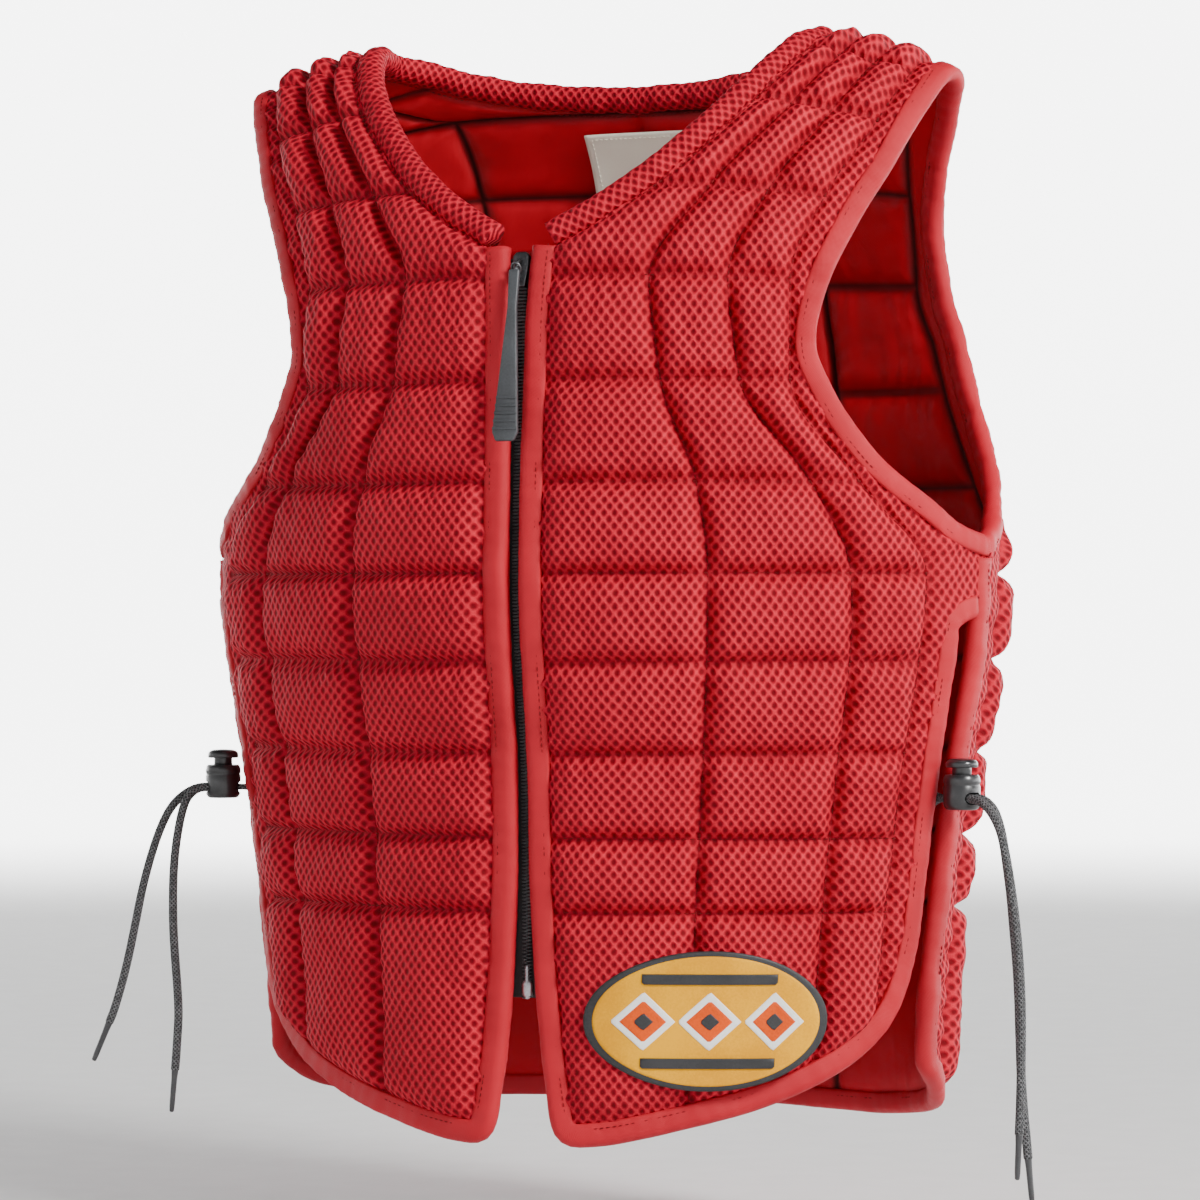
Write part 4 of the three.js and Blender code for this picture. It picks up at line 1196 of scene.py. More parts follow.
@dataclass
class QuiltedPanels:
    """The padded front halves and back: mesh cloth outside, satin lining inside, sewn in blocks."""

    seam_wall: float = 0.0065
    pad_rise: float = 0.0066
    lining_rise: float = 0.0032
    block_round: float = 0.0125
    edge_flat: float = 0.0028
    dome: float = 0.0016
    pucker: float = 0.0009
    groove: float = 0.0022
    spacing: float = 0.0024
    stitch: Repeat = Repeat(0.0034, 0.0026, 0.0007, 0.0007)

    def rise(self, distance: Array, reach: float) -> Array:
        """How far padding has risen at a distance from a seam.

        Args:
            distance: Distances in metres.
            reach: Distance over which it rises.

        Returns:
            Shares from 0 to 1.
        """
        t = np.clip(distance / reach, 0, 1)
        return (1 - (1 - t) ** 2) ** 0.7

    def stations(self, cut: Cut, extra: Sequence[float]) -> Array:
        """Stations of the panel's fine rows.

        Args:
            cut: The panel's cut.
            extra: Stations that the outline needs.

        Returns:
            The stations in order.
        """
        low = np.linspace(0, 1, int(LOW_RISE / self.spacing) + 1)
        high = np.linspace(1, cut.seams[-1], int(0.235 * (cut.seams[-1] - 1) / self.spacing) + 1)
        every = np.unique(np.round(np.concatenate([low, high, extra]), 5))
        keep = [every[0]]
        for station in every[1:]:
            if station - keep[-1] > 0.0022 or station in np.round(extra, 5):
                keep.append(station)
        keep[-1] = cut.seams[-1]
        return np.array(keep)

    def grid(self, cut: Cut, spans: Sequence[int], extra: Sequence[float]) -> dict[str, Array]:
        """Lays out a fine grid of one half.

        Args:
            cut: The panel's cut.
            spans: Fine columns in each span between lengthwise seams.
            extra: Stations that the outline needs.

        Returns:
            Turns, stations, cloth lengths, and distances to the nearest seams.
        """
        station = self.stations(cut, extra)
        columns = [column.at(station) for column in cut.columns]
        seams = np.stack([cut.inner(station), *columns, cut.outer(station)], axis=1)
        parts = []
        for k, count in enumerate(spans):
            share = np.linspace(0, 1, count, endpoint=k == len(spans) - 1)
            parts.append(seams[:, k : k + 1] * (1 - share) + seams[:, k + 1 : k + 2] * share)
        turn = np.concatenate(parts, axis=1)
        straight = np.broadcast_to(station[:, None], turn.shape)
        shifted = cut.shifted(turn, straight)
        beside = FORM.lining(np.clip(turn - 0.5, 0, 180), shifted)
        per_degree = np.linalg.norm(FORM.lining(turn, shifted) - beside, axis=-1) / 0.5
        per_station = np.where(straight < 1, LOW_RISE, 0.2)
        across = np.abs(turn[..., None] - seams[:, None, :]) * per_degree[..., None]
        middle_back = seams[:, None, 0] > 179.9
        across[..., 0] = np.where(middle_back, across[..., 0], across[..., 0] - self.edge_flat)
        span = np.searchsorted(np.cumsum(spans), np.arange(turn.shape[1]), side="right")
        across = np.minimum(across[..., :-1].min(axis=-1), 1.0)
        across = np.where((span == len(spans) - 1)[None, :], 0.0, np.maximum(across, 0))
        up = np.abs(straight[..., None] - np.array(cut.seams)) * per_station[..., None]
        columns = (np.abs(turn[..., None] - seams[:, None, 1:-1]) * per_degree[..., None]).min(axis=-1)
        rows = np.where((span == len(spans) - 1)[None, :], 1.0, up[..., 1:-1].min(axis=-1))
        up[..., 0] = up[..., 0] - self.edge_flat
        return {
            "turn": turn, "station": shifted, "uv": CLOTH.uv(turn, shifted), "across": across,
            "up": np.maximum(up.min(axis=-1), 0), "line": np.minimum(columns, rows),
        }

    def heights(self, grid: dict[str, Array], seed: int) -> tuple[Array, Array]:
        """Works out how far the cloth stands outside and inside the lining's line.

        Args:
            grid: The grid.
            seed: Fixed seed.

        Returns:
            Offsets of the outer and inner cloth.
        """
        u, v = grid["uv"][..., 0], grid["uv"][..., 1]
        across, up = grid["across"], grid["up"]
        block = self.rise(across, self.block_round) * self.rise(up, self.block_round)
        crown = np.clip(across / 0.03, 0, 1) * np.clip(up / 0.026, 0, 1)
        near_row = np.exp(-up / 0.009) * (across > 0)
        near_column = np.exp(-across / 0.009) * (across > 0)
        draw_row = np.sin(u * 2 * math.pi / 0.011 + 3 * ripple(u, v, 0.05, seed))
        draw_column = np.sin(v * 2 * math.pi / 0.011 + 3 * ripple(u, v, 0.05, seed + 1))
        row_puckers = near_row * draw_row * np.clip(up / 0.004, 0, 1)
        column_puckers = near_column * draw_column * np.clip(across / 0.004, 0, 1)
        puckers = self.pucker * (row_puckers + column_puckers)
        slack = 0.0005 * ripple(u, v * 1.3, 0.045, seed + 2) + 0.0002 * ripple(u, v, 0.014, seed + 3)
        flat = (across <= 0) * np.clip(up / 0.01, 0, 1)
        creases = flat * 0.0009 * np.sin(v * 2 * math.pi / 0.017 + 2.5 * ripple(u, v, 0.06, seed + 4))
        cut = self.groove * np.exp(-((grid["line"] / 0.003) ** 2))
        outer = self.seam_wall + self.pad_rise * block + self.dome * crown + puckers
        outer = outer + slack * (0.3 + block) + creases - cut
        inner = -self.lining_rise * block - 0.0008 * crown - 0.6 * puckers - 0.5 * slack * block
        inner = inner + 0.6 * cut
        return outer, inner

    def skin(
        self, name: str, grid: dict[str, Array], sides: Sequence[Side], seed: int, middle: bool
    ) -> Piece:
        """Closes the outer and inner cloth into one padded piece.

        Args:
            name: The piece's name.
            grid: The grid of one half.
            sides: The sides that the piece covers.
            seed: Fixed seed.
            middle: True where the halves join at the middle.

        Returns:
            The piece, with the mesh first and the lining second among its materials.
        """
        outer, inner = self.heights(grid, seed)
        top = FORM.wall(grid["turn"], grid["station"], outer)
        low = FORM.wall(grid["turn"], grid["station"], inner)
        if middle:
            centre = grid["turn"][:, 0] > 179.9
            top[centre, 0, 0] = 0.0
            low[centre, 0, 0] = 0.0
        rows, columns = grid["turn"].shape
        size = rows * columns
        points, uvs, faces, linings = [], [], [], []
        for side in sides:
            start = len(points) * size
            points += [side.place(top).reshape(-1, 3), side.place(low).reshape(-1, 3)]
            flat = grid["uv"].reshape(-1, 2) * np.array([side.value, 1])
            uvs += [flat, flat]
            turned = (side is Side.LEFT) == (grid["turn"][0, -1] < grid["turn"][0, 0])
            skin = grid_faces(rows, columns, start, flip=turned)
            under = grid_faces(rows, columns, start + size, flip=not turned)
            rim = []
            for i in range(rows - 1):
                for j in (0, columns - 1):
                    if j == 0 and middle and grid["turn"][i, 0] > 179.9 and grid["turn"][i + 1, 0] > 179.9:
                        continue
                    a, b = start + i * columns + j, start + (i + 1) * columns + j
                    quad = (a, b, b + size, a + size)
                    rim.append(quad if (j == 0) != turned else quad[::-1])
            for j in range(columns - 1):
                for i in (0, rows - 1):
                    a, b = start + i * columns + j, start + i * columns + j + 1
                    quad = (a, b, b + size, a + size)
                    rim.append(quad[::-1] if (i == 0) != turned else quad)
            faces += skin + under + rim
            linings += [0] * len(skin) + [1] * len(under) + [0] * len(rim)
        made = mesh_object(name, np.concatenate(points), faces, np.concatenate(uvs))
        made.data.polygons.foreach_set("material_index", linings)
        # How far each point is from the quilting lines; the finishes use it for painted groove shade.
        groove = 1 - np.exp(-grid["line"] / 0.0028)
        shares = np.tile(groove.reshape(-1), 2 * len(sides)).astype(np.float32)
        made.data.attributes.new("groove", "FLOAT", "POINT").data.foreach_set("value", shares)
        if middle:
            work = bmesh.new()
            work.from_mesh(made.data)
            close = [vert for vert in work.verts if abs(vert.co.x) < 1e-6]
            bmesh.ops.remove_doubles(work, verts=close, dist=1e-6)
            work.to_mesh(made.data)
            work.free()
        shade(made, FINISH["mesh"], FINISH["lining"])
        return made

    def stitches(self, name: str, cut: Cut, sides: Sequence[Side]) -> Piece:
        """Sews along every seam of a panel.

        Args:
            name: The piece's name.
            cut: The panel's cut.
            sides: The sides that the piece covers.

        Returns:
            The stitches.
        """
        paths = []
        lift = self.seam_wall - self.groove + 0.0004
        for seam in cut.seams[1:-1]:
            inner, outer = float(cut.inner(np.array(seam))), float(cut.columns[-1].at(seam))
            step = 3.0 if inner < outer else -3.0
            turns = np.linspace(inner + (step if inner < 179 else 0), outer, 50)
            straight = np.full(50, float(seam))
            paths.append(FORM.wall(turns, cut.shifted(turns, straight), lift))
        for column in cut.columns:
            straight = np.linspace(0.014, cut.seams[-1] - 0.01, 160)
            turns = column.at(straight)
            paths.append(FORM.wall(turns, cut.shifted(turns, straight), lift))
        every = [resample(side.place(path), 0.0035) for side in sides for path in paths]
        return self.stitch.lay(name, every, FINISH["thread"])

    def build(self) -> None:
        """Makes the three panels and their stitches."""
        corners = (SLIT_TOP, 0.658, 0.671, ARMHOLE_BOTTOM, 0.734, V_STATION, 1.17, 1.18)
        front = self.grid(FRONT_CUT, (30, 26, 20, 12), corners)
        for side in Side:
            word = side.word
            panel = self.skin(f"front_{word}_quilt", front, [side], 11 + side.value, False)
            settle(panel, "mesh_cloth", f"front_{word}")
            settle(self.stitches(f"front_{word}_stitches", FRONT_CUT, [side]), "mesh_cloth")
        corners = (ARMHOLE_BOTTOM, 0.734, 1.59, 1.593, 1.5965, 1.6, 1.605, 1.611, 1.618, 1.625)
        back = self.grid(BACK_CUT, (30, 34, 16), corners)
        panel = self.skin("back_quilt", back, list(Side), 31, True)
        settle(panel, "mesh_cloth", "back_panel")
        settle(self.stitches("back_stitches", BACK_CUT, list(Side)), "mesh_cloth")


# The bindings and the roll round the neck


@dataclass
class Bindings:
    """Strips folded over every edge, and the padded roll round the neck."""

    width: float = 0.009
    lap: float = 0.0018
    half_thick: float = 0.0046
    fold: float = 0.0039
    roll_width: float = 0.013
    roll_half: float = 0.0062
    wall_middle: float = 0.00325
    stitch: Repeat = Repeat(0.0031, 0.0024, 0.00065, 0.00065)

    def edge(self, cut: Cut, inner: bool, stations: Array) -> tuple[Array, Array]:
        """Samples one lengthwise edge of a panel.

        Args:
            cut: The panel's cut.
            inner: True for the inner edge.
            stations: Stations of the straight panel.

        Returns:
            Points in the middle of the wall, and the wall's directions.
        """
        turns = (cut.inner if inner else cut.outer)(stations)
        shifted = cut.shifted(turns, stations)
        return FORM.wall(turns, shifted, self.wall_middle), FORM.normal(turns, shifted)

    def hem(self, cut: Cut, turns: Array) -> tuple[Array, Array]:
        """Samples a hem.

        Args:
            cut: The panel's cut.
            turns: Turns in degrees.

        Returns:
            Points and directions.
        """
        shifted = cut.shifted(turns, np.zeros(len(turns)))
        return FORM.wall(turns, shifted, self.wall_middle), FORM.normal(turns, shifted)

    def folded(self, wider: float = 0.0) -> Array:
        """The outline of a strip folded over an edge.

        Args:
            wider: Extra width.

        Returns:
            Points as (far, high).
        """
        lap, far, high, fold = self.lap, self.width + wider, self.half_thick, self.fold
        upper = [(-lap, fold - 0.0009), (-lap, fold), (-lap * 0.55, fold + 0.0003), (0.0, high)]
        angles = np.linspace(math.pi / 2, -math.pi / 2, 9)
        bend = [(far - high + high * math.cos(a), high * math.sin(a)) for a in angles]
        lower = [(x, -y) for x, y in reversed(upper)]
        return np.array(upper + bend + lower)

    def rolled(self) -> Array:
        """The outline of the padded roll.

        Returns:
            Points as (far, high).
        """
        angles = np.linspace(math.radians(150), math.radians(-150), 19)
        middle = self.roll_width * 0.45
        across = [middle + self.roll_width * 0.55 * math.cos(a) for a in angles]
        return np.array([(x, self.roll_half * math.sin(a)) for x, a in zip(across, angles)])

    def strip(self, name: str, node: str, edge: Edge, profile: Array, seed: int, roll: bool = False) -> None:
        """Makes one strip with its row of stitches.

        Args:
            name: The piece's name.
            node: The CAD node it replaces.
            edge: The edge it follows.
            profile: Its outline.
            seed: Fixed seed.
            roll: True for the padded roll.
        """
        made = strip_along(name, edge, profile, 0.00022 if not roll else 0.0004, seed)
        shade(made, FINISH["roll" if roll else "binding"])
        settle(made, "mesh_cloth" if roll else "binding", node)
        back = -0.0018 if roll else 0.0012
        high = (0.0036 if roll else self.fold) + 0.0003
        rows = []
        for face in (1, -1):
            path = edge.points + edge.out * back + edge.thick * high * face
            rows.append(np.concatenate([path, path[:1]]) if edge.closed else path)
        settle(self.stitch.lay(f"{name}_stitches", rows, FINISH["thread"]), "binding")

    def joined(self, parts: Sequence[tuple[Array, Array]], side: Side) -> tuple[Array, Array]:
        """Joins sampled edges into one, on either side.

        Args:
            parts: Points and directions of each.
            side: The wearer's side.

        Returns:
            Points and directions.
        """
        points, thick = (side.place(np.concatenate([part[k] for part in parts])) for k in (0, 1))
        return points, thick

    def mirrored(self, parts: Sequence[tuple[Array, Array]]) -> tuple[Array, Array]:
        """Joins sampled edges that end at the middle with their mirror images.

        Args:
            parts: Points and directions of each.

        Returns:
            Points and directions.
        """
        halves = [self.joined(parts, side) for side in Side]
        return tuple(np.concatenate([halves[0][k], halves[1][k][-2::-1]]) for k in (0, 1))

    def front_edge(self, side: Side) -> Edge:
        """Down the zip, round the hem, up the slit and over its arch.

        Args:
            side: The wearer's side.

        Returns:
            The edge.
        """
        down = self.edge(FRONT_CUT, True, np.linspace(V_STATION, 0, 150))
        low, high = float(FRONT_CUT.inner(np.array(0.0))), float(FRONT_CUT.outer(np.array(0.0)))
        round_hem = self.hem(FRONT_CUT, np.linspace(low, high, 80)[1:])
        arch = np.linspace(SLIT_TOP, SLIT_ARCH, 16)
        up = self.edge(FRONT_CUT, False, np.concatenate([np.linspace(0, SLIT_TOP, 90)[1:-1], arch]))
        return edge_along(*self.joined((down, round_hem, up), side), np.array([-side.value, 0, 0]))

    def back_edge(self) -> Edge:
        """Down one side of the back, round its hem and up the other.

        Returns:
            The edge.
        """
        down = self.edge(BACK_CUT, False, np.linspace(ARMHOLE_BOTTOM - 0.006, 0, 100))
        low = float(BACK_CUT.outer(np.array(0.0)))
        round_hem = self.hem(BACK_CUT, np.linspace(low, 180, 100)[1:])
        return edge_along(*self.mirrored((down, round_hem)), np.array([0, -1, 0]))

    def armhole_edge(self, side: Side) -> Edge:
        """Round an armhole.

        Args:
            side: The wearer's side.

        Returns:
            The edge.
        """
        up = self.edge(FRONT_CUT, False, np.linspace(ARMHOLE_BOTTOM, STRAP_END, 150))
        down = self.edge(BACK_CUT, False, np.linspace(1.878, ARMHOLE_BOTTOM, 150))
        return edge_along(*self.joined((up, down), side), np.array([0, 0, 1.0]), closed=True)

    def neck_edge(self) -> Edge:
        """Round the neck, from one side of the zip to the other.

        Returns:
            The edge.
        """
        up = self.edge(FRONT_CUT, True, np.linspace(V_STATION + 0.004, STRAP_END, 120))
        stations = np.concatenate([np.linspace(1.878, 1.605, 60), np.linspace(1.604, 1.5901, 24)])
        down = self.edge(BACK_CUT, True, stations)
        return edge_along(*self.mirrored((up, down)), np.array([-0.3, 0, 1.0]))

    def build(self) -> None:
        """Makes all strips."""
        for side in Side:
            word = side.word
            front, armhole = self.front_edge(side), self.armhole_edge(side)
            self.strip(f"front_edge_{word}", f"front_binding_{word}", front, self.folded(0.001), 41)
            self.strip(f"armhole_edge_{word}", f"armhole_binding_{word}", armhole, self.folded(), 47)
        self.strip("back_edge", "back_binding", self.back_edge(), self.folded(), 53)
        self.strip("neck_edge_roll", "neck_roll", self.neck_edge(), self.rolled(), 59, roll=True)


# The zip


def slab(name: str, top: Array, low: Array, uvs: Array) -> Piece:
    """Closes two grids of points into a thin plate.

    Args:
        name: The piece's name.
        top: Rows of points of the front.
        low: The same for the back.
        uvs: Lengths along the cloth at each point.

    Returns:
        The plate.
    """
    rows, columns = top.shape[:2]
    size = rows * columns
    faces = grid_faces(rows, columns) + grid_faces(rows, columns, size, flip=True)
    for i in range(rows - 1):
        for j in (0, columns - 1):
            a, b = i * columns + j, (i + 1) * columns + j
            faces.append((a, b, b + size, a + size))
    for j in range(columns - 1):
        for i in (0, rows - 1):
            a, b = i * columns + j, i * columns + j + 1
            faces.append((a, b, b + size, a + size))
    points = np.concatenate([top.reshape(-1, 3), low.reshape(-1, 3)])
    made = mesh_object(name, points, faces, np.concatenate([uvs.reshape(-1, 2)] * 2))
    return mend_normals(made, 1e-7)


def prism(name: str, outline: Sequence[tuple[float, float]], near: float, far: float) -> Piece:
    """Raises an upright outline into a straight-sided body.

    Args:
        name: The piece's name.
        outline: Points as (across, up).
        near: Where it starts, from front to back.
        far: Where it ends.

    Returns:
        The body.
    """
    points = [(x, y, z) for y in (near, far) for x, z in outline]
    count = len(outline)
    faces = [tuple(range(count)), tuple(range(2 * count - 1, count - 1, -1))]
    faces += [(i, i + count, (i + 1) % count + count, (i + 1) % count) for i in range(count)]
    return mend_normals(mesh_object(name, np.array(points), faces))


@dataclass
class ZipFastener:
    """Zip tapes, coil, slider, pull and the guard behind them."""

    tape_width: float = 0.015
    tape_thick: float = 0.0012
    depth: float = 0.0036
    chain_half: float = 0.0025
    top: float = 1.15
    bottom: float = 0.165
    guard_half: float = 0.018
    guard_thick: float = 0.0016
    guard_drop: float = 0.0012
    slider_length: float = 0.015
    pull_length: float = 0.084
    pull_standoff: float = 0.012
    tooth: Repeat = Repeat(0.0017, 0.00105, 0.0021, 0.0034, 2)

    def tapes(self) -> None:
        """Makes the two woven tapes."""
        station = np.linspace(self.bottom, self.top, 160)
        behind = -self.depth
        for side in Side:
            x = np.linspace(0.00035, self.tape_width, 9)
            across, up = np.meshgrid(x, station)
            rib = 0.00018 * np.sin(across * 2 * math.pi / 0.0028)
            front = FORM.zip_point(across, up, behind + self.tape_thick / 2 + rib)
            back = FORM.zip_point(across, up, behind - self.tape_thick / 2)
            uvs = np.stack([across, (up - self.bottom) * 0.36], axis=-1)
            word = side.word
            made = slab(f"zip_cloth_{word}", side.place(front), side.place(back), uvs)
            settle(made, "zip_cloth", f"zip_tape_{word}", finish="zip_cloth")

    def chain(self) -> None:
        """Makes the meshed coil, two rows of teeth half a pitch apart."""
        station = np.linspace(self.bottom, self.top, 300)
        lift = -self.depth + self.tape_thick / 2 + 0.0014
        paths = []
        for row, shift in ((-1, 0.0), (1, 0.5)):
            path = resample(FORM.zip_point(np.full(300, row * 0.001), station, lift), 0.0004)
            paths.append(path[int(shift * self.tooth.pitch / 0.0004) :])
        settle(self.tooth.lay("zip_coil_teeth", paths, FINISH["coil"]), "zip_coil", "zip_chain")

    def guard(self) -> None:
        """Makes the soft guard behind the tapes."""
        station = np.linspace(self.bottom, self.top + 0.02, 150)
        across, up = np.meshgrid(np.linspace(-self.guard_half, self.guard_half, 25), station)
        swell = 0.0006 * ripple(across * 0.5, up * 0.36, 0.03, 71)
        drop = self.depth + self.tape_thick / 2 + self.guard_drop
        front = FORM.zip_point(across, up, -drop + np.minimum(swell, 0.0004))
        back = FORM.zip_point(across, up, -drop - self.guard_thick + swell)
        uvs = np.stack([across, up * 0.36], axis=-1)
        made = shade(slab("zip_guard_cloth", front, back, uvs), FINISH["guard"])
        settle(made, "lining", "zip_guard")
        flat = (2 * self.guard_half, self.length_of(station))

    def length_of(self, station: Array) -> float:
        """The length of a strip down the middle.

        Args:
            station: Its stations.

        Returns:
            Metres.
        """
        return float(along(FORM.zip_point(np.zeros(len(station)), station, -self.depth))[-1])

    def slider_place(self) -> Matrix:
        """Where the slider sits, leaning with the chest.

        Returns:
            Its place and lean.
        """
        lift = -self.depth + self.tape_thick / 2 + 0.0029
        head = FORM.zip_point(np.array(0.0), np.array(self.top), lift)
        foot = FORM.zip_point(np.array(0.0), np.array(self.top - 0.06), lift)
        lean = math.atan2(foot[1] - head[1], head[2] - foot[2])
        return Matrix.Translation(Vector(head)) @ Matrix.Rotation(lean, 4, "X")

    def outline_plate(
        self, name: str, outline: Sequence[tuple[float, float]], near: float, far: float, bevel: float
    ) -> Piece:
        """Cuts a plate with rounded edges in the slider's own frame.

        Args:
            name: The piece's name.
            outline: Points as (across, up).
            near: Its back, in front of the slider's origin.
            far: Its front.
            bevel: Radius of its edges.

        Returns:
            The plate, in place.
        """
        made = prism(name, outline, -near, -far)
        work = bmesh.new()
        work.from_mesh(made.data)
        edges = list(work.edges)
        bmesh.ops.bevel(
            work, geom=edges, offset=bevel, segments=3, profile=0.5, affect="EDGES", clamp_overlap=True
        )
        bmesh.ops.transform(work, matrix=self.slider_place(), verts=work.verts)
        work.to_mesh(made.data)
        work.free()
        made.data.polygons.foreach_set("use_smooth", [True] * len(made.data.polygons))
        return made

    def slider(self) -> None:
        """Makes the slider's body and bail."""
        half, long = 0.0042, self.slider_length
        body = [
            (-half, 0), (-half * 0.98, -long * 0.35), (-half * 0.66, -long), (half * 0.66, -long),
            (half * 0.98, -long * 0.35), (half, 0), (half * 0.62, 0.002), (-half * 0.62, 0.002),
        ]
        made = self.outline_plate("zip_slider_body", body, -0.0012, 0.0028, 0.0006)
        settle(made, "slider_metal", "zip_slider", finish="metal")
        arch = np.array([
            (0, -0.0022 - 0.0052 * math.sin(a), -long * (0.16 + 0.62 * (1 - math.cos(a)) / 2))
            for a in np.linspace(0, math.pi, 25)
        ])
        bail = tube("zip_slider_bail", arch, 0.0011, 10)
        bail.data.transform(self.slider_place())
        settle(bail, "slider_metal", finish="metal")

    def pull(self) -> None:
        """Makes the tapered pull, with a ring through the bail and a raised grip."""
        top_half, end_half, long = 0.00275, 0.00675, self.pull_length
        start = -self.slider_length * 0.55
        near = self.pull_standoff - self.depth
        outline = [
            (-top_half, start), (-top_half * 0.85, start - long * 0.22),
            (-end_half * 0.97, start - long * 0.95), (-end_half * 0.7, start - long),
            (end_half * 0.7, start - long), (end_half * 0.97, start - long * 0.95),
            (top_half * 0.85, start - long * 0.22), (top_half, start),
        ]
        made = self.outline_plate("zip_pull_tongue", outline, near, near + 0.0026, 0.0008)
        settle(made, "pull_rubber", "zip_pull", finish="pull")
        for k in range(5):
            low = start - long * (0.74 + 0.045 * k)
            wide = top_half + (end_half - top_half) * (0.62 + 0.07 * k)
            rib = [(-wide, low), (wide, low), (wide, low - 0.0015), (-wide, low - 0.0015)]
            made = self.outline_plate(f"zip_pull_rib_{k + 1}", rib, near + 0.0022, near + 0.0031, 0.0003)
            settle(made, "pull_rubber", finish="pull")
        middle = np.array([0, -near + 0.0007, start + 0.0012])
        ring = middle + np.array([
            (0.0022 * math.cos(a), -0.0018 * math.sin(a), 0.0022 * math.sin(a)) for a in circle(32)
        ])
        made = tube("zip_pull_ring", np.concatenate([ring, ring[:1]]), 0.0006, 8)
        made.data.transform(self.slider_place())
        settle(made, "slider_metal", finish="metal")

    def stop(self) -> None:
        """Makes the metal box and pin at the foot of the chain."""
        lift = -self.depth + self.tape_thick / 2 + 0.0013
        head = FORM.zip_point(np.array(0.0), np.array(self.bottom + 0.04), lift)
        foot = FORM.zip_point(np.array(0.0), np.array(self.bottom), lift)
        made = tube("zip_foot_pin", np.linspace(head, foot, 9), 0.0012, 12)
        settle(made, "slider_metal", finish="steel")
        box = np.linspace(foot + (head - foot) * 0.06, foot + (head - foot) * 0.5, 9)
        made = tube("zip_foot_box", box, np.array([2.2, 2.8, 2.9, 2.9, 2.9, 2.9, 2.9, 2.8, 2.4]) * MM, 16)
        away = Matrix.Translation(Vector(foot))
        made.data.transform(away @ Matrix.Diagonal((1, 0.55, 1, 1)) @ away.inverted())
        settle(made, "slider_metal", finish="steel")

    def build(self) -> None:
        """Makes the whole fastener."""
        self.tapes()
        self.chain()
        self.stop()
        self.guard()
        self.slider()
        self.pull()


# The label and the badge


@dataclass
class NeckLabel:
    """The blank woven label sewn inside the back neck."""

    width: float = 0.06
    height: float = 0.054
    thick: float = 0.001
    station: float = 1.545
    depth: float = 0.0046

    def build(self) -> None:
        """Makes the label with its sewn border."""
        stations = np.linspace(self.station - self.height / (0.15 * math.pi / 2), self.station, 31)
        half_width = FORM.half_width * float(FORM.level_width.at(self.station))
        across, up = np.meshgrid(np.linspace(-1, 1, 33) * self.width / 2, stations)
        turn = FORM.turn_at_width(np.abs(across) / half_width, True)
        curl = 0.0007 * ripple(across, up * 0.2, 0.05, 81) + 0.0006 * np.abs(across / self.width * 2) ** 3
        top = FORM.wall(turn, up, -self.depth - self.thick - curl)
        low = FORM.wall(turn, up, -self.depth - curl)
        for points in (top, low):
            points[..., 0] *= np.where(across < 0, -1, 1)
        uvs = np.stack([across, up * 0.2], axis=-1)
        made = shade(slab("neck_label_cloth", top, low, uvs), FINISH["label"])
        settle(made, "label", "neck_label")
        inset = np.concatenate([top[2, 2:-2], top[2:-2, -3], top[-3, -3:1:-1], top[-3:1:-1, 2]])
        inset = inset + np.array([0, -0.0003, 0])
        sewn = Repeat(0.0026, 0.002, 0.0005, 0.0005).lay("neck_label_stitches", [inset], FINISH["label"])
        settle(sewn, "label")


class Layer(Enum):
    """Raised layers of the badge, with their finish and height."""

    BASE = ("badge_black", 0.0)
    FIELD = ("badge_yellow", 0.0005)
    LIGHT = ("badge_white", 0.0009)
    WARM = ("badge_orange", 0.0011)
    MARK = ("badge_black", 0.0014)


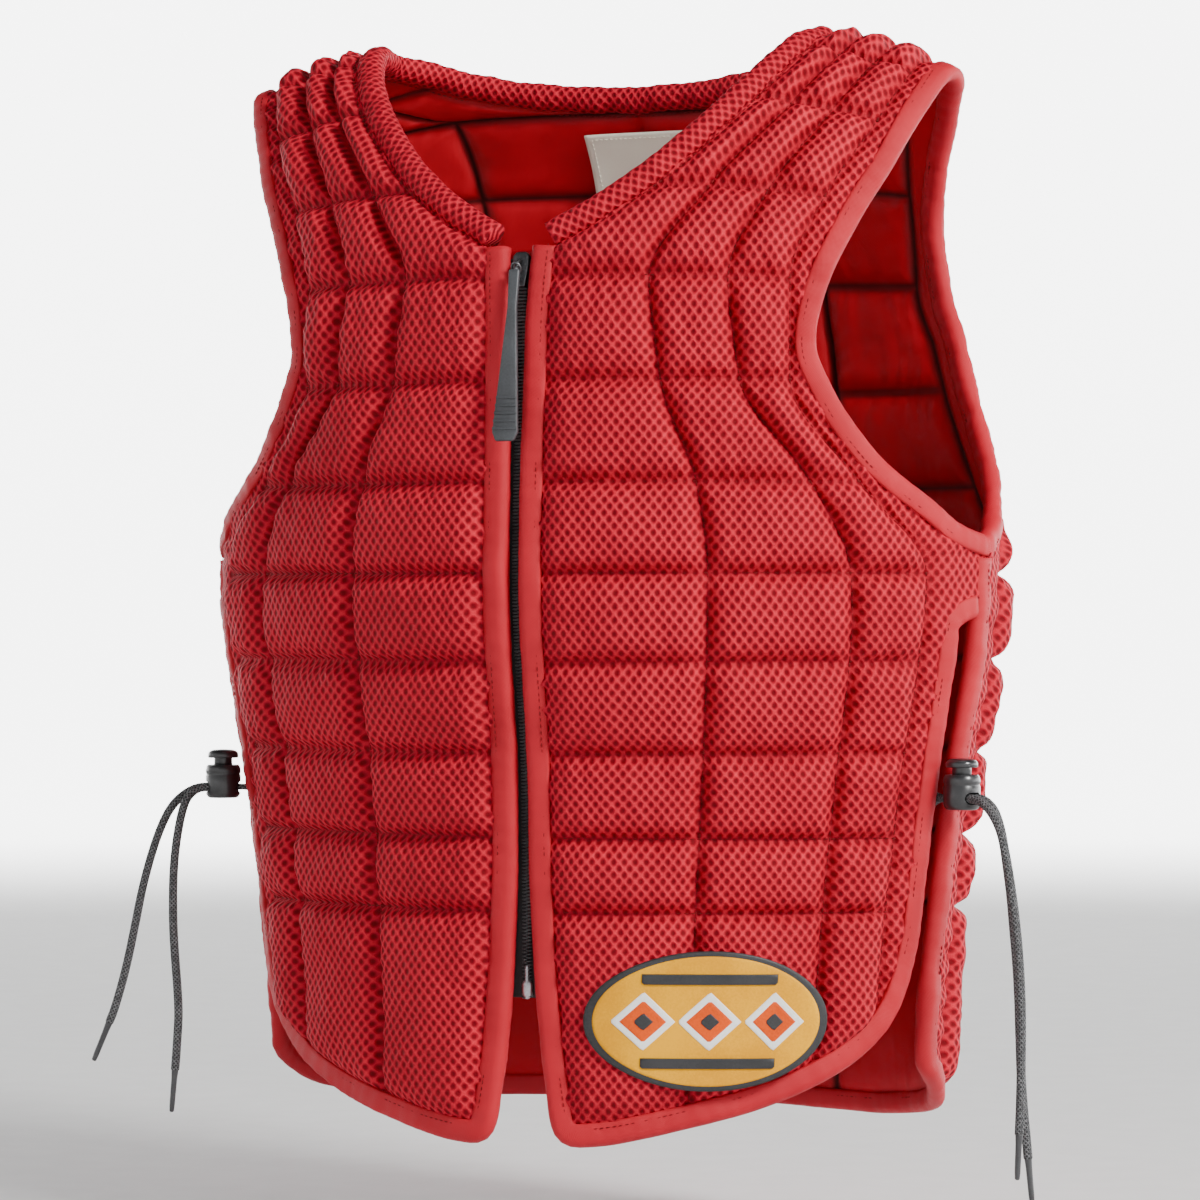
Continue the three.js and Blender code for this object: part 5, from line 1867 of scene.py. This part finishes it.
@dataclass
class Badge:
    """A moulded oval badge with a plain pattern of bars and diamonds."""

    width: float = 0.112
    height: float = 0.068
    turn: float = 34.0
    station: float = 0.142
    back: float = 0.0141
    thick: float = 0.0022

    def lay(self, a: Array, b: Array, offset: Array | float) -> Array:
        """Lays badge coordinates on the body.

        Args:
            a: Lengths across from its middle.
            b: Lengths up from its middle.
            offset: Distances outside the lining.

        Returns:
            Points.
        """
        here = FORM.lining(np.array([self.turn - 1, self.turn + 1]), np.array([self.station] * 2))
        per_degree = float(np.linalg.norm(here[1] - here[0])) / 2
        return FORM.wall(self.turn + a / per_degree, self.station + b / LOW_RISE, offset)

    def plate(self, name: str, outline: Array, layer: Layer) -> Piece:
        """Raises one outline as a plate with a soft edge.

        Args:
            name: The piece's name.
            outline: Closed outline round (0, 0) or its own middle.
            layer: The layer it belongs to.

        Returns:
            The plate.
        """
        finish, lift = layer.value
        middle = outline.mean(axis=0)
        base = self.back if layer is Layer.BASE else self.back + self.thick - 0.0002
        high = self.back + self.thick + lift
        rings = [(1.0, base), (1.0, high - 0.0004), (0.985, high - 0.0001)]
        rings += [(share, high) for share in (0.96, 0.8, 0.6, 0.4, 0.2)]
        points = []
        for share, offset in rings:
            flat = middle + (outline - middle) * share
            points.append(self.lay(flat[:, 0], flat[:, 1], np.full(len(flat), offset)))
        count = len(outline)
        faces = grid_faces(len(rings), count, joined=True) + ends_of(len(rings), count)
        made = mend_normals(mesh_object(name, np.concatenate(points), faces))
        return shade(made, FINISH[finish])

    def oval(self, share: float) -> Array:
        """An oval outline at a share of the badge's size."""
        wide, high = self.width / 2 * share, self.height / 2 * share
        return np.stack([wide * np.cos(circle(96)), high * np.sin(circle(96))], axis=1)

    def outline(self, x: float, y: float, corners: Sequence[tuple[float, float]]) -> Array:
        """A closed outline round a place, with points all along its sides.

        Args:
            x: The place across the badge.
            y: The place up the badge.
            corners: The corners, at twice their distance.

        Returns:
            The points.
        """
        closed = np.pad(np.array([*corners, corners[0]]) / 2, ((0, 0), (0, 1)))
        return np.array([x, y]) + resample(closed, 0.002)[:-1, :2]

    def diamond(self, x: float, size: float) -> Array:
        """A diamond outline on the badge's middle line."""
        return self.outline(x, 0, [(size, 0), (0, size), (-size, 0), (0, -size)])

    def bar(self, y: float, wide: float, high: float) -> Array:
        """A bar outline across the badge."""
        return self.outline(0, y, [(wide, high), (-wide, high), (-wide, -high), (wide, -high)])

    def build(self) -> None:
        """Makes the badge's layers."""
        parts = [
            ("badge_base", self.oval(1.0), Layer.BASE), ("badge_field", self.oval(0.93), Layer.FIELD),
            ("badge_bar_upper", self.bar(0.0205, 0.062, 0.005), Layer.MARK),
            ("badge_bar_lower", self.bar(-0.0205, 0.062, 0.005), Layer.MARK),
        ]
        for k, x in enumerate((-0.03, 0.0, 0.03)):
            parts.append((f"badge_diamond_{k + 1}", self.diamond(x, 0.029), Layer.LIGHT))
            parts.append((f"badge_inset_{k + 1}", self.diamond(x, 0.021), Layer.WARM))
            parts.append((f"badge_stud_{k + 1}", self.diamond(x, 0.009), Layer.MARK))
        for name, outline, layer in parts:
            nodes = ("badge",) if layer is Layer.BASE else ()
            settle(self.plate(name, outline, layer), "badge_rubber", *nodes)


# The side lacing, its locks and the free cord ends

CORD_ROUTES = {
    (Side.LEFT, "a"): (
        (-2.5, 0), (2, -0.4), (5.5, -2.2), (9, -6), (11.5, -12), (13.5, -20), (15.5, -32), (17.5, -46),
        (19, -62), (20.5, -79), (21.3, -96), (21.5, -113), (21.8, -130), (22.7, -146), (24, -160),
        (25, -172),
    ),
    (Side.LEFT, "b"): (
        (-2.5, 0), (2, -0.3), (6, -1.4), (11, -4), (16, -8.5), (20.5, -15), (24, -24), (27.5, -36),
        (31, -51), (34, -67), (36.2, -84), (37.5, -101), (38, -117), (38.2, -132), (38.2, -146), (38, -158),
    ),
    (Side.RIGHT, "a"): (
        (-2.5, 0), (2, -0.3), (6, -1.6), (11, -4.8), (16, -10), (20, -17), (24, -27), (28, -40),
        (31.5, -54), (34.5, -69), (37.5, -84), (40.5, -97), (43.5, -108), (46, -116), (48, -121),
    ),
    (Side.RIGHT, "b"): (
        (-2.5, 0), (2, -0.4), (5.5, -2.2), (8.8, -6), (11, -12), (12.8, -20), (14.5, -31), (15.6, -44),
        (15.9, -58), (15.7, -73), (14.8, -88), (13.7, -103), (13.2, -116), (13.8, -128), (14.4, -137),
        (15, -144),
    ),
}


@dataclass
class SideLacing:
    """Elastic lacing in the side slits, with a sprung lock and two free ends on each side."""

    cord: float = 0.0044
    lacing: float = 0.003
    lacing_depth: float = 0.0055
    lacing_spread: float = 2.1
    lacing_shift: float = 0.55
    crossings: int = 5
    tip: float = 0.003
    tip_length: float = 0.022
    tip_gap: float = 0.0003
    radius: float = 0.009
    height: float = 0.017
    station: float = 0.415
    standoff: float = 0.02
    slot_lift: float = 0.0056
    slot_height: float = 0.0059
    slot_length: float = 0.0104
    bore: float = 0.005
    bore_depth: float = 0.0076
    button: float = 0.0078
    dome: float = 0.0044
    travel: float = 0.0032
    clearance: float = 0.00035
    seam_wall: float = 0.0065

    def directions(self) -> tuple[Array, Array]:
        """Directions at the lock.

        Returns:
            Out of the slit, and along the wall.
        """
        out = FORM.normal(np.array(SLIT_TURN), np.array(self.station)).copy()
        out[2] = 0
        out = unit(out)
        return out, np.array([-out[1], out[0], 0])

    def slot_middle(self) -> Array:
        """The middle of the lock's slot."""
        lining = FORM.wall(np.array(SLIT_TURN), np.array(self.station), 0.0)
        return lining + self.directions()[0] * self.standoff

    def cord_path(self, side: Side, strand: str) -> Array:
        """The route of a free end.

        Args:
            side: The wearer's side.
            strand: Its letter.

        Returns:
            The route's points, in metres.
        """
        out, along = self.directions()
        slot = self.slot_middle()
        across = (1 if strand == "a" else -1) * (self.cord / 2 + 0.0002)
        reach = self.radius + 0.001
        points = []
        for i, (far, down) in enumerate(CORD_ROUTES[(side, strand)]):
            spread = across * (1 + max(0, i - 1) * 0.22)
            points.append(slot + out * (far * MM + reach) + along * spread + np.array([0, 0, down * MM]))
        return side.place(np.array(points))

    def free_ends(self) -> None:
        """Makes the four free ends with their tips."""
        for side, strand in CORD_ROUTES:
            points = self.cord_path(side, strand)
            path = resample(spline(points), 0.0024)
            word = f"{side.word}_{strand}"
            made = shade(tube(f"free_cord_{word}", path, self.cord / 2, 14), FINISH["cord"])
            settle(made, "cord", f"cord_{word}")
            heading = unit(points[-1] - points[-2])
            where = np.array([self.tip_gap, 0.001, 0.005, 0.012, 0.018, self.tip_length - 0.0008])
            radii = np.array([1.25, 1.2, 1.05, 1.0, 0.95, 0.8]) * self.tip / 2
            end = tube(f"cord_end_{word}", points[-1] + heading * where[:, None], radii, 12)
            settle(end, "cord_tip", f"cord_tip_{word}", finish="tip")
            length = float(along(path)[-1])
            tuple(points[0])
            LOG.info("free_cord_%s: %.3f m", word, length)

    def strands(self) -> None:
        """Makes the lacing in the slits."""
        out, along = self.directions()
        slot = self.slot_middle()
        for upper in (True, False):
            sign = -1 if upper else 1
            beside = along * sign * self.slot_length / 4
            within = ((-0.0009, 1), (-0.009, 1), (-0.01, 0.9))
            start = [slot + out * far + beside * wide for far, wide in within]
            turn = SLIT_TURN + sign * self.lacing_shift
            half_way = (self.seam_wall - self.lacing_depth) / 2
            through = FORM.wall(np.array(turn), np.array(self.station - sign * 0.008), half_way)
            if upper:
                stations = np.linspace(self.station + 0.045, SLIT_TOP - 0.03, self.crossings)
            else:
                stations = np.linspace(self.station - 0.045, self.station - 0.13, 2)
            turns = SLIT_TURN + np.where(np.arange(len(stations)) % 2, 1, -1) * self.lacing_spread
            cross = FORM.wall(turns, stations, -self.lacing_depth)
            path = resample(spline(np.array([*start, through, *cross])), 0.002)
            for side in Side:
                word = f"{'upper' if upper else 'lower'}_{side.word}"
                made = tube(f"lacing_cord_{word}", side.place(path), self.lacing / 2, 10)
                settle(made, "cord", f"lacing_{word}", finish="cord")

    def turned(self, name: str, profile: Sequence[tuple[float, float]], sides: int = 48) -> Piece:
        """Turns a profile round the lock's axis, in the lock's own frame.

        Args:
            name: The piece's name.
            profile: Points as (radius, height), closed by the axis.
            sides: Points round it.

        Returns:
            The turned piece.
        """
        angles = circle(sides)
        points = np.array([[(r * math.cos(a), r * math.sin(a), z) for a in angles] for r, z in profile])
        faces = grid_faces(len(profile), sides, joined=True) + ends_of(len(profile), sides)
        return mend_normals(mesh_object(name, points.reshape(-1, 3), faces))

    def to_place(self, piece: Piece, side: Side) -> Piece:
        """Moves a lock's piece from its own frame to its place.

        Args:
            piece: The piece.
            side: The wearer's side.

        Returns:
            The piece.
        """
        out, along = self.directions()
        slot = self.slot_middle()
        place = Matrix.Identity(4)
        for row in range(3):
            place[row][0], place[row][1], place[row][3] = -along[row], out[row], slot[row]
        place[2][3] -= self.slot_lift
        piece.data.transform(place)
        if side is Side.RIGHT:
            piece.data.transform(Matrix.Scale(-1, 4, (1, 0, 0)))
        return mend_normals(piece)

    def barrel(self, side: Side) -> None:
        """Makes a lock's barrel with its bore and cord slot.

        Args:
            side: The wearer's side.
        """
        r, h, b, top = self.radius, self.height, self.bore, self.height - self.bore_depth
        profile = [
            (0.0002, 0), (r * 0.76, 0), (r * 0.86, 0.0004), (r * 0.96, 0.0018), (r, 0.0034), (r, h * 0.66),
            (r * 0.965, h * 0.69), (r * 0.965, h * 0.74), (r, h * 0.77), (r * 0.995, h * 0.86),
            (r * 0.95, h * 0.95), (r * 0.88, h), (b + 0.0006, h), (b, h - 0.0006), (b, top), (0.0002, top),
        ]
        word = side.word
        made = self.turned(f"lock_body_{word}", profile)
        angles = np.linspace(-math.pi / 2, math.pi / 2, 13)
        half, turn = (self.slot_length - self.slot_height) / 2, self.slot_height / 2
        outline = [(half + turn * math.cos(a), self.slot_lift + turn * math.sin(a)) for a in angles]
        outline += [(-x, 2 * self.slot_lift - z) for x, z in outline]
        cutter = prism("slot_cutter", outline, -0.012, 0.012)
        cut = made.modifiers.new("slot", "BOOLEAN")
        cut.operation, cut.object, cut.solver = "DIFFERENCE", cutter, "EXACT"
        depsgraph = bpy.context.evaluated_depsgraph_get()
        mesh = bpy.data.meshes.new_from_object(made.evaluated_get(depsgraph))
        made.modifiers.remove(cut)
        made.data = mesh
        bpy.data.objects.remove(cutter)
        mesh.set_sharp_from_angle(angle=math.radians(35))
        self.to_place(made, side)
        settle(made, "lock_plastic", f"lock_barrel_{word}", finish="lock")

    def cap(self, side: Side) -> None:
        """Makes a lock's button.

        Args:
            side: The wearer's side.
        """
        stem = self.bore - self.clearance
        low = self.height - (self.bore_depth - self.travel - self.clearance)
        seat = self.height + self.travel + self.clearance
        r, d = self.button, self.dome
        profile = [
            (0.0002, low), (stem - 0.0003, low), (stem, low + 0.0003), (stem, seat), (r - 0.0004, seat),
            (r, seat + 0.0004), (r, seat + d * 0.42), (r * 0.97, seat + d * 0.58),
            (r * 0.9, seat + d * 0.74), (r * 0.76, seat + d * 0.88), (r * 0.55, seat + d * 0.96),
            (r * 0.3, seat + d), (0.0002, seat + d),
        ]
        word = side.word
        made = self.turned(f"lock_cap_{word}", profile)
        made.data.set_sharp_from_angle(angle=math.radians(50))
        self.to_place(made, side)
        settle(made, "lock_plastic", f"lock_button_{word}", finish="lock", body=f"button_{word}")

    def build(self) -> None:
        """Makes the lacing and the locks."""
        self.strands()
        for side in Side:
            self.barrel(side)
            self.cap(side)


# The studio


@dataclass
class Studio:
    """Camera, floor and light."""

    azimuth: float = 21.0
    distance: float = 2.4
    target: Place = (0.0012, 0.0002, -0.281)
    lens: float = 143.0
    floor: float = -0.6

    def camera(self) -> None:
        """Places the camera at the photograph's angle."""
        data = bpy.data.cameras.new("camera")
        data.lens, data.sensor_width = self.lens, 36.0
        made = bpy.data.objects.new("camera", data)
        angle = math.radians(self.azimuth)
        made.location = Vector(self.target) + Vector((math.sin(angle), -math.cos(angle), 0)) * self.distance
        made.rotation_euler = (Vector(self.target) - made.location).to_track_quat("-Z", "Y").to_euler()
        bpy.context.scene.collection.objects.link(made)
        bpy.context.scene.camera = made

    def bowl(self) -> None:
        """Makes a pale floor that curves up into a backdrop all round."""
        radii = [0.01, 1.0, 2.5, 4.0] + [4.0 + 1.5 * math.sin(a) for a in np.linspace(0.15, math.pi / 2, 9)]
        heights = [0.0] * 4 + [1.5 * (1 - math.cos(a)) for a in np.linspace(0.15, math.pi / 2, 9)]
        radii.append(5.5)
        heights.append(4.0)
        rings = [(r * np.cos(circle(96)), r * np.sin(circle(96)), z) for r, z in zip(radii, heights)]
        points = np.concatenate([np.stack([x, y, np.full(96, self.floor + z)], axis=1) for x, y, z in rings])
        faces = grid_faces(len(radii), 96, joined=True) + ends_of(1, 96)[:1]
        made = mesh_object("floor", points, faces)
        shade(made, Backdrop("studio_floor", grey(0.72), grey(0.7), 0.8, bump=0.02).make())

    def light(self, name: str, place: Place, size: float, power: float, color: Place) -> None:
        """Adds a soft light aimed at the vest.

        Args:
            name: Its name.
            place: Where it stands.
            size: Its side.
            power: Watts.
            color: Its colour.
        """
        data = bpy.data.lights.new(name, "AREA")
        data.energy, data.size, data.color = power, size, color
        made = bpy.data.objects.new(name, data)
        made.location = place
        made.rotation_euler = (Vector((0, 0, -0.25)) - Vector(place)).to_track_quat("-Z", "Y").to_euler()
        bpy.context.scene.collection.objects.link(made)

    def build(self) -> None:
        """Makes the studio."""
        self.bowl()
        self.light("key", (2.6, -1.15, 1.5), 0.8, 172, (1.0, 0.99, 0.97))
        self.light("fill", (-1.8, -2.4, 0.4), 2.0, 0.8, (0.96, 0.98, 1.0))
        self.light("top", (0.5, -0.4, 2.2), 1.2, 7, (1.0, 1.0, 1.0))
        world = bpy.data.worlds.new("studio_world")
        world.use_nodes = True
        background = world.node_tree.nodes["Background"]
        background.inputs[0].default_value = opaque(1.0, 1.0, 1.0)
        background.inputs[1].default_value = 0.05
        bpy.context.scene.world = world


def main() -> None:
    """Builds the camera and cords first, and then every other piece."""
    logging.basicConfig(level=logging.INFO, format="%(name)s %(message)s")
    studio = Studio()
    studio.camera()
    lacing = SideLacing()
    lacing.free_ends()
    for piece in (QuiltedPanels(), Bindings(), ZipFastener(), NeckLabel(), Badge(), lacing, studio):
        piece.build()
        LOG.info("%s done", type(piece).__name__)


if __name__ == "__main__":
    main()
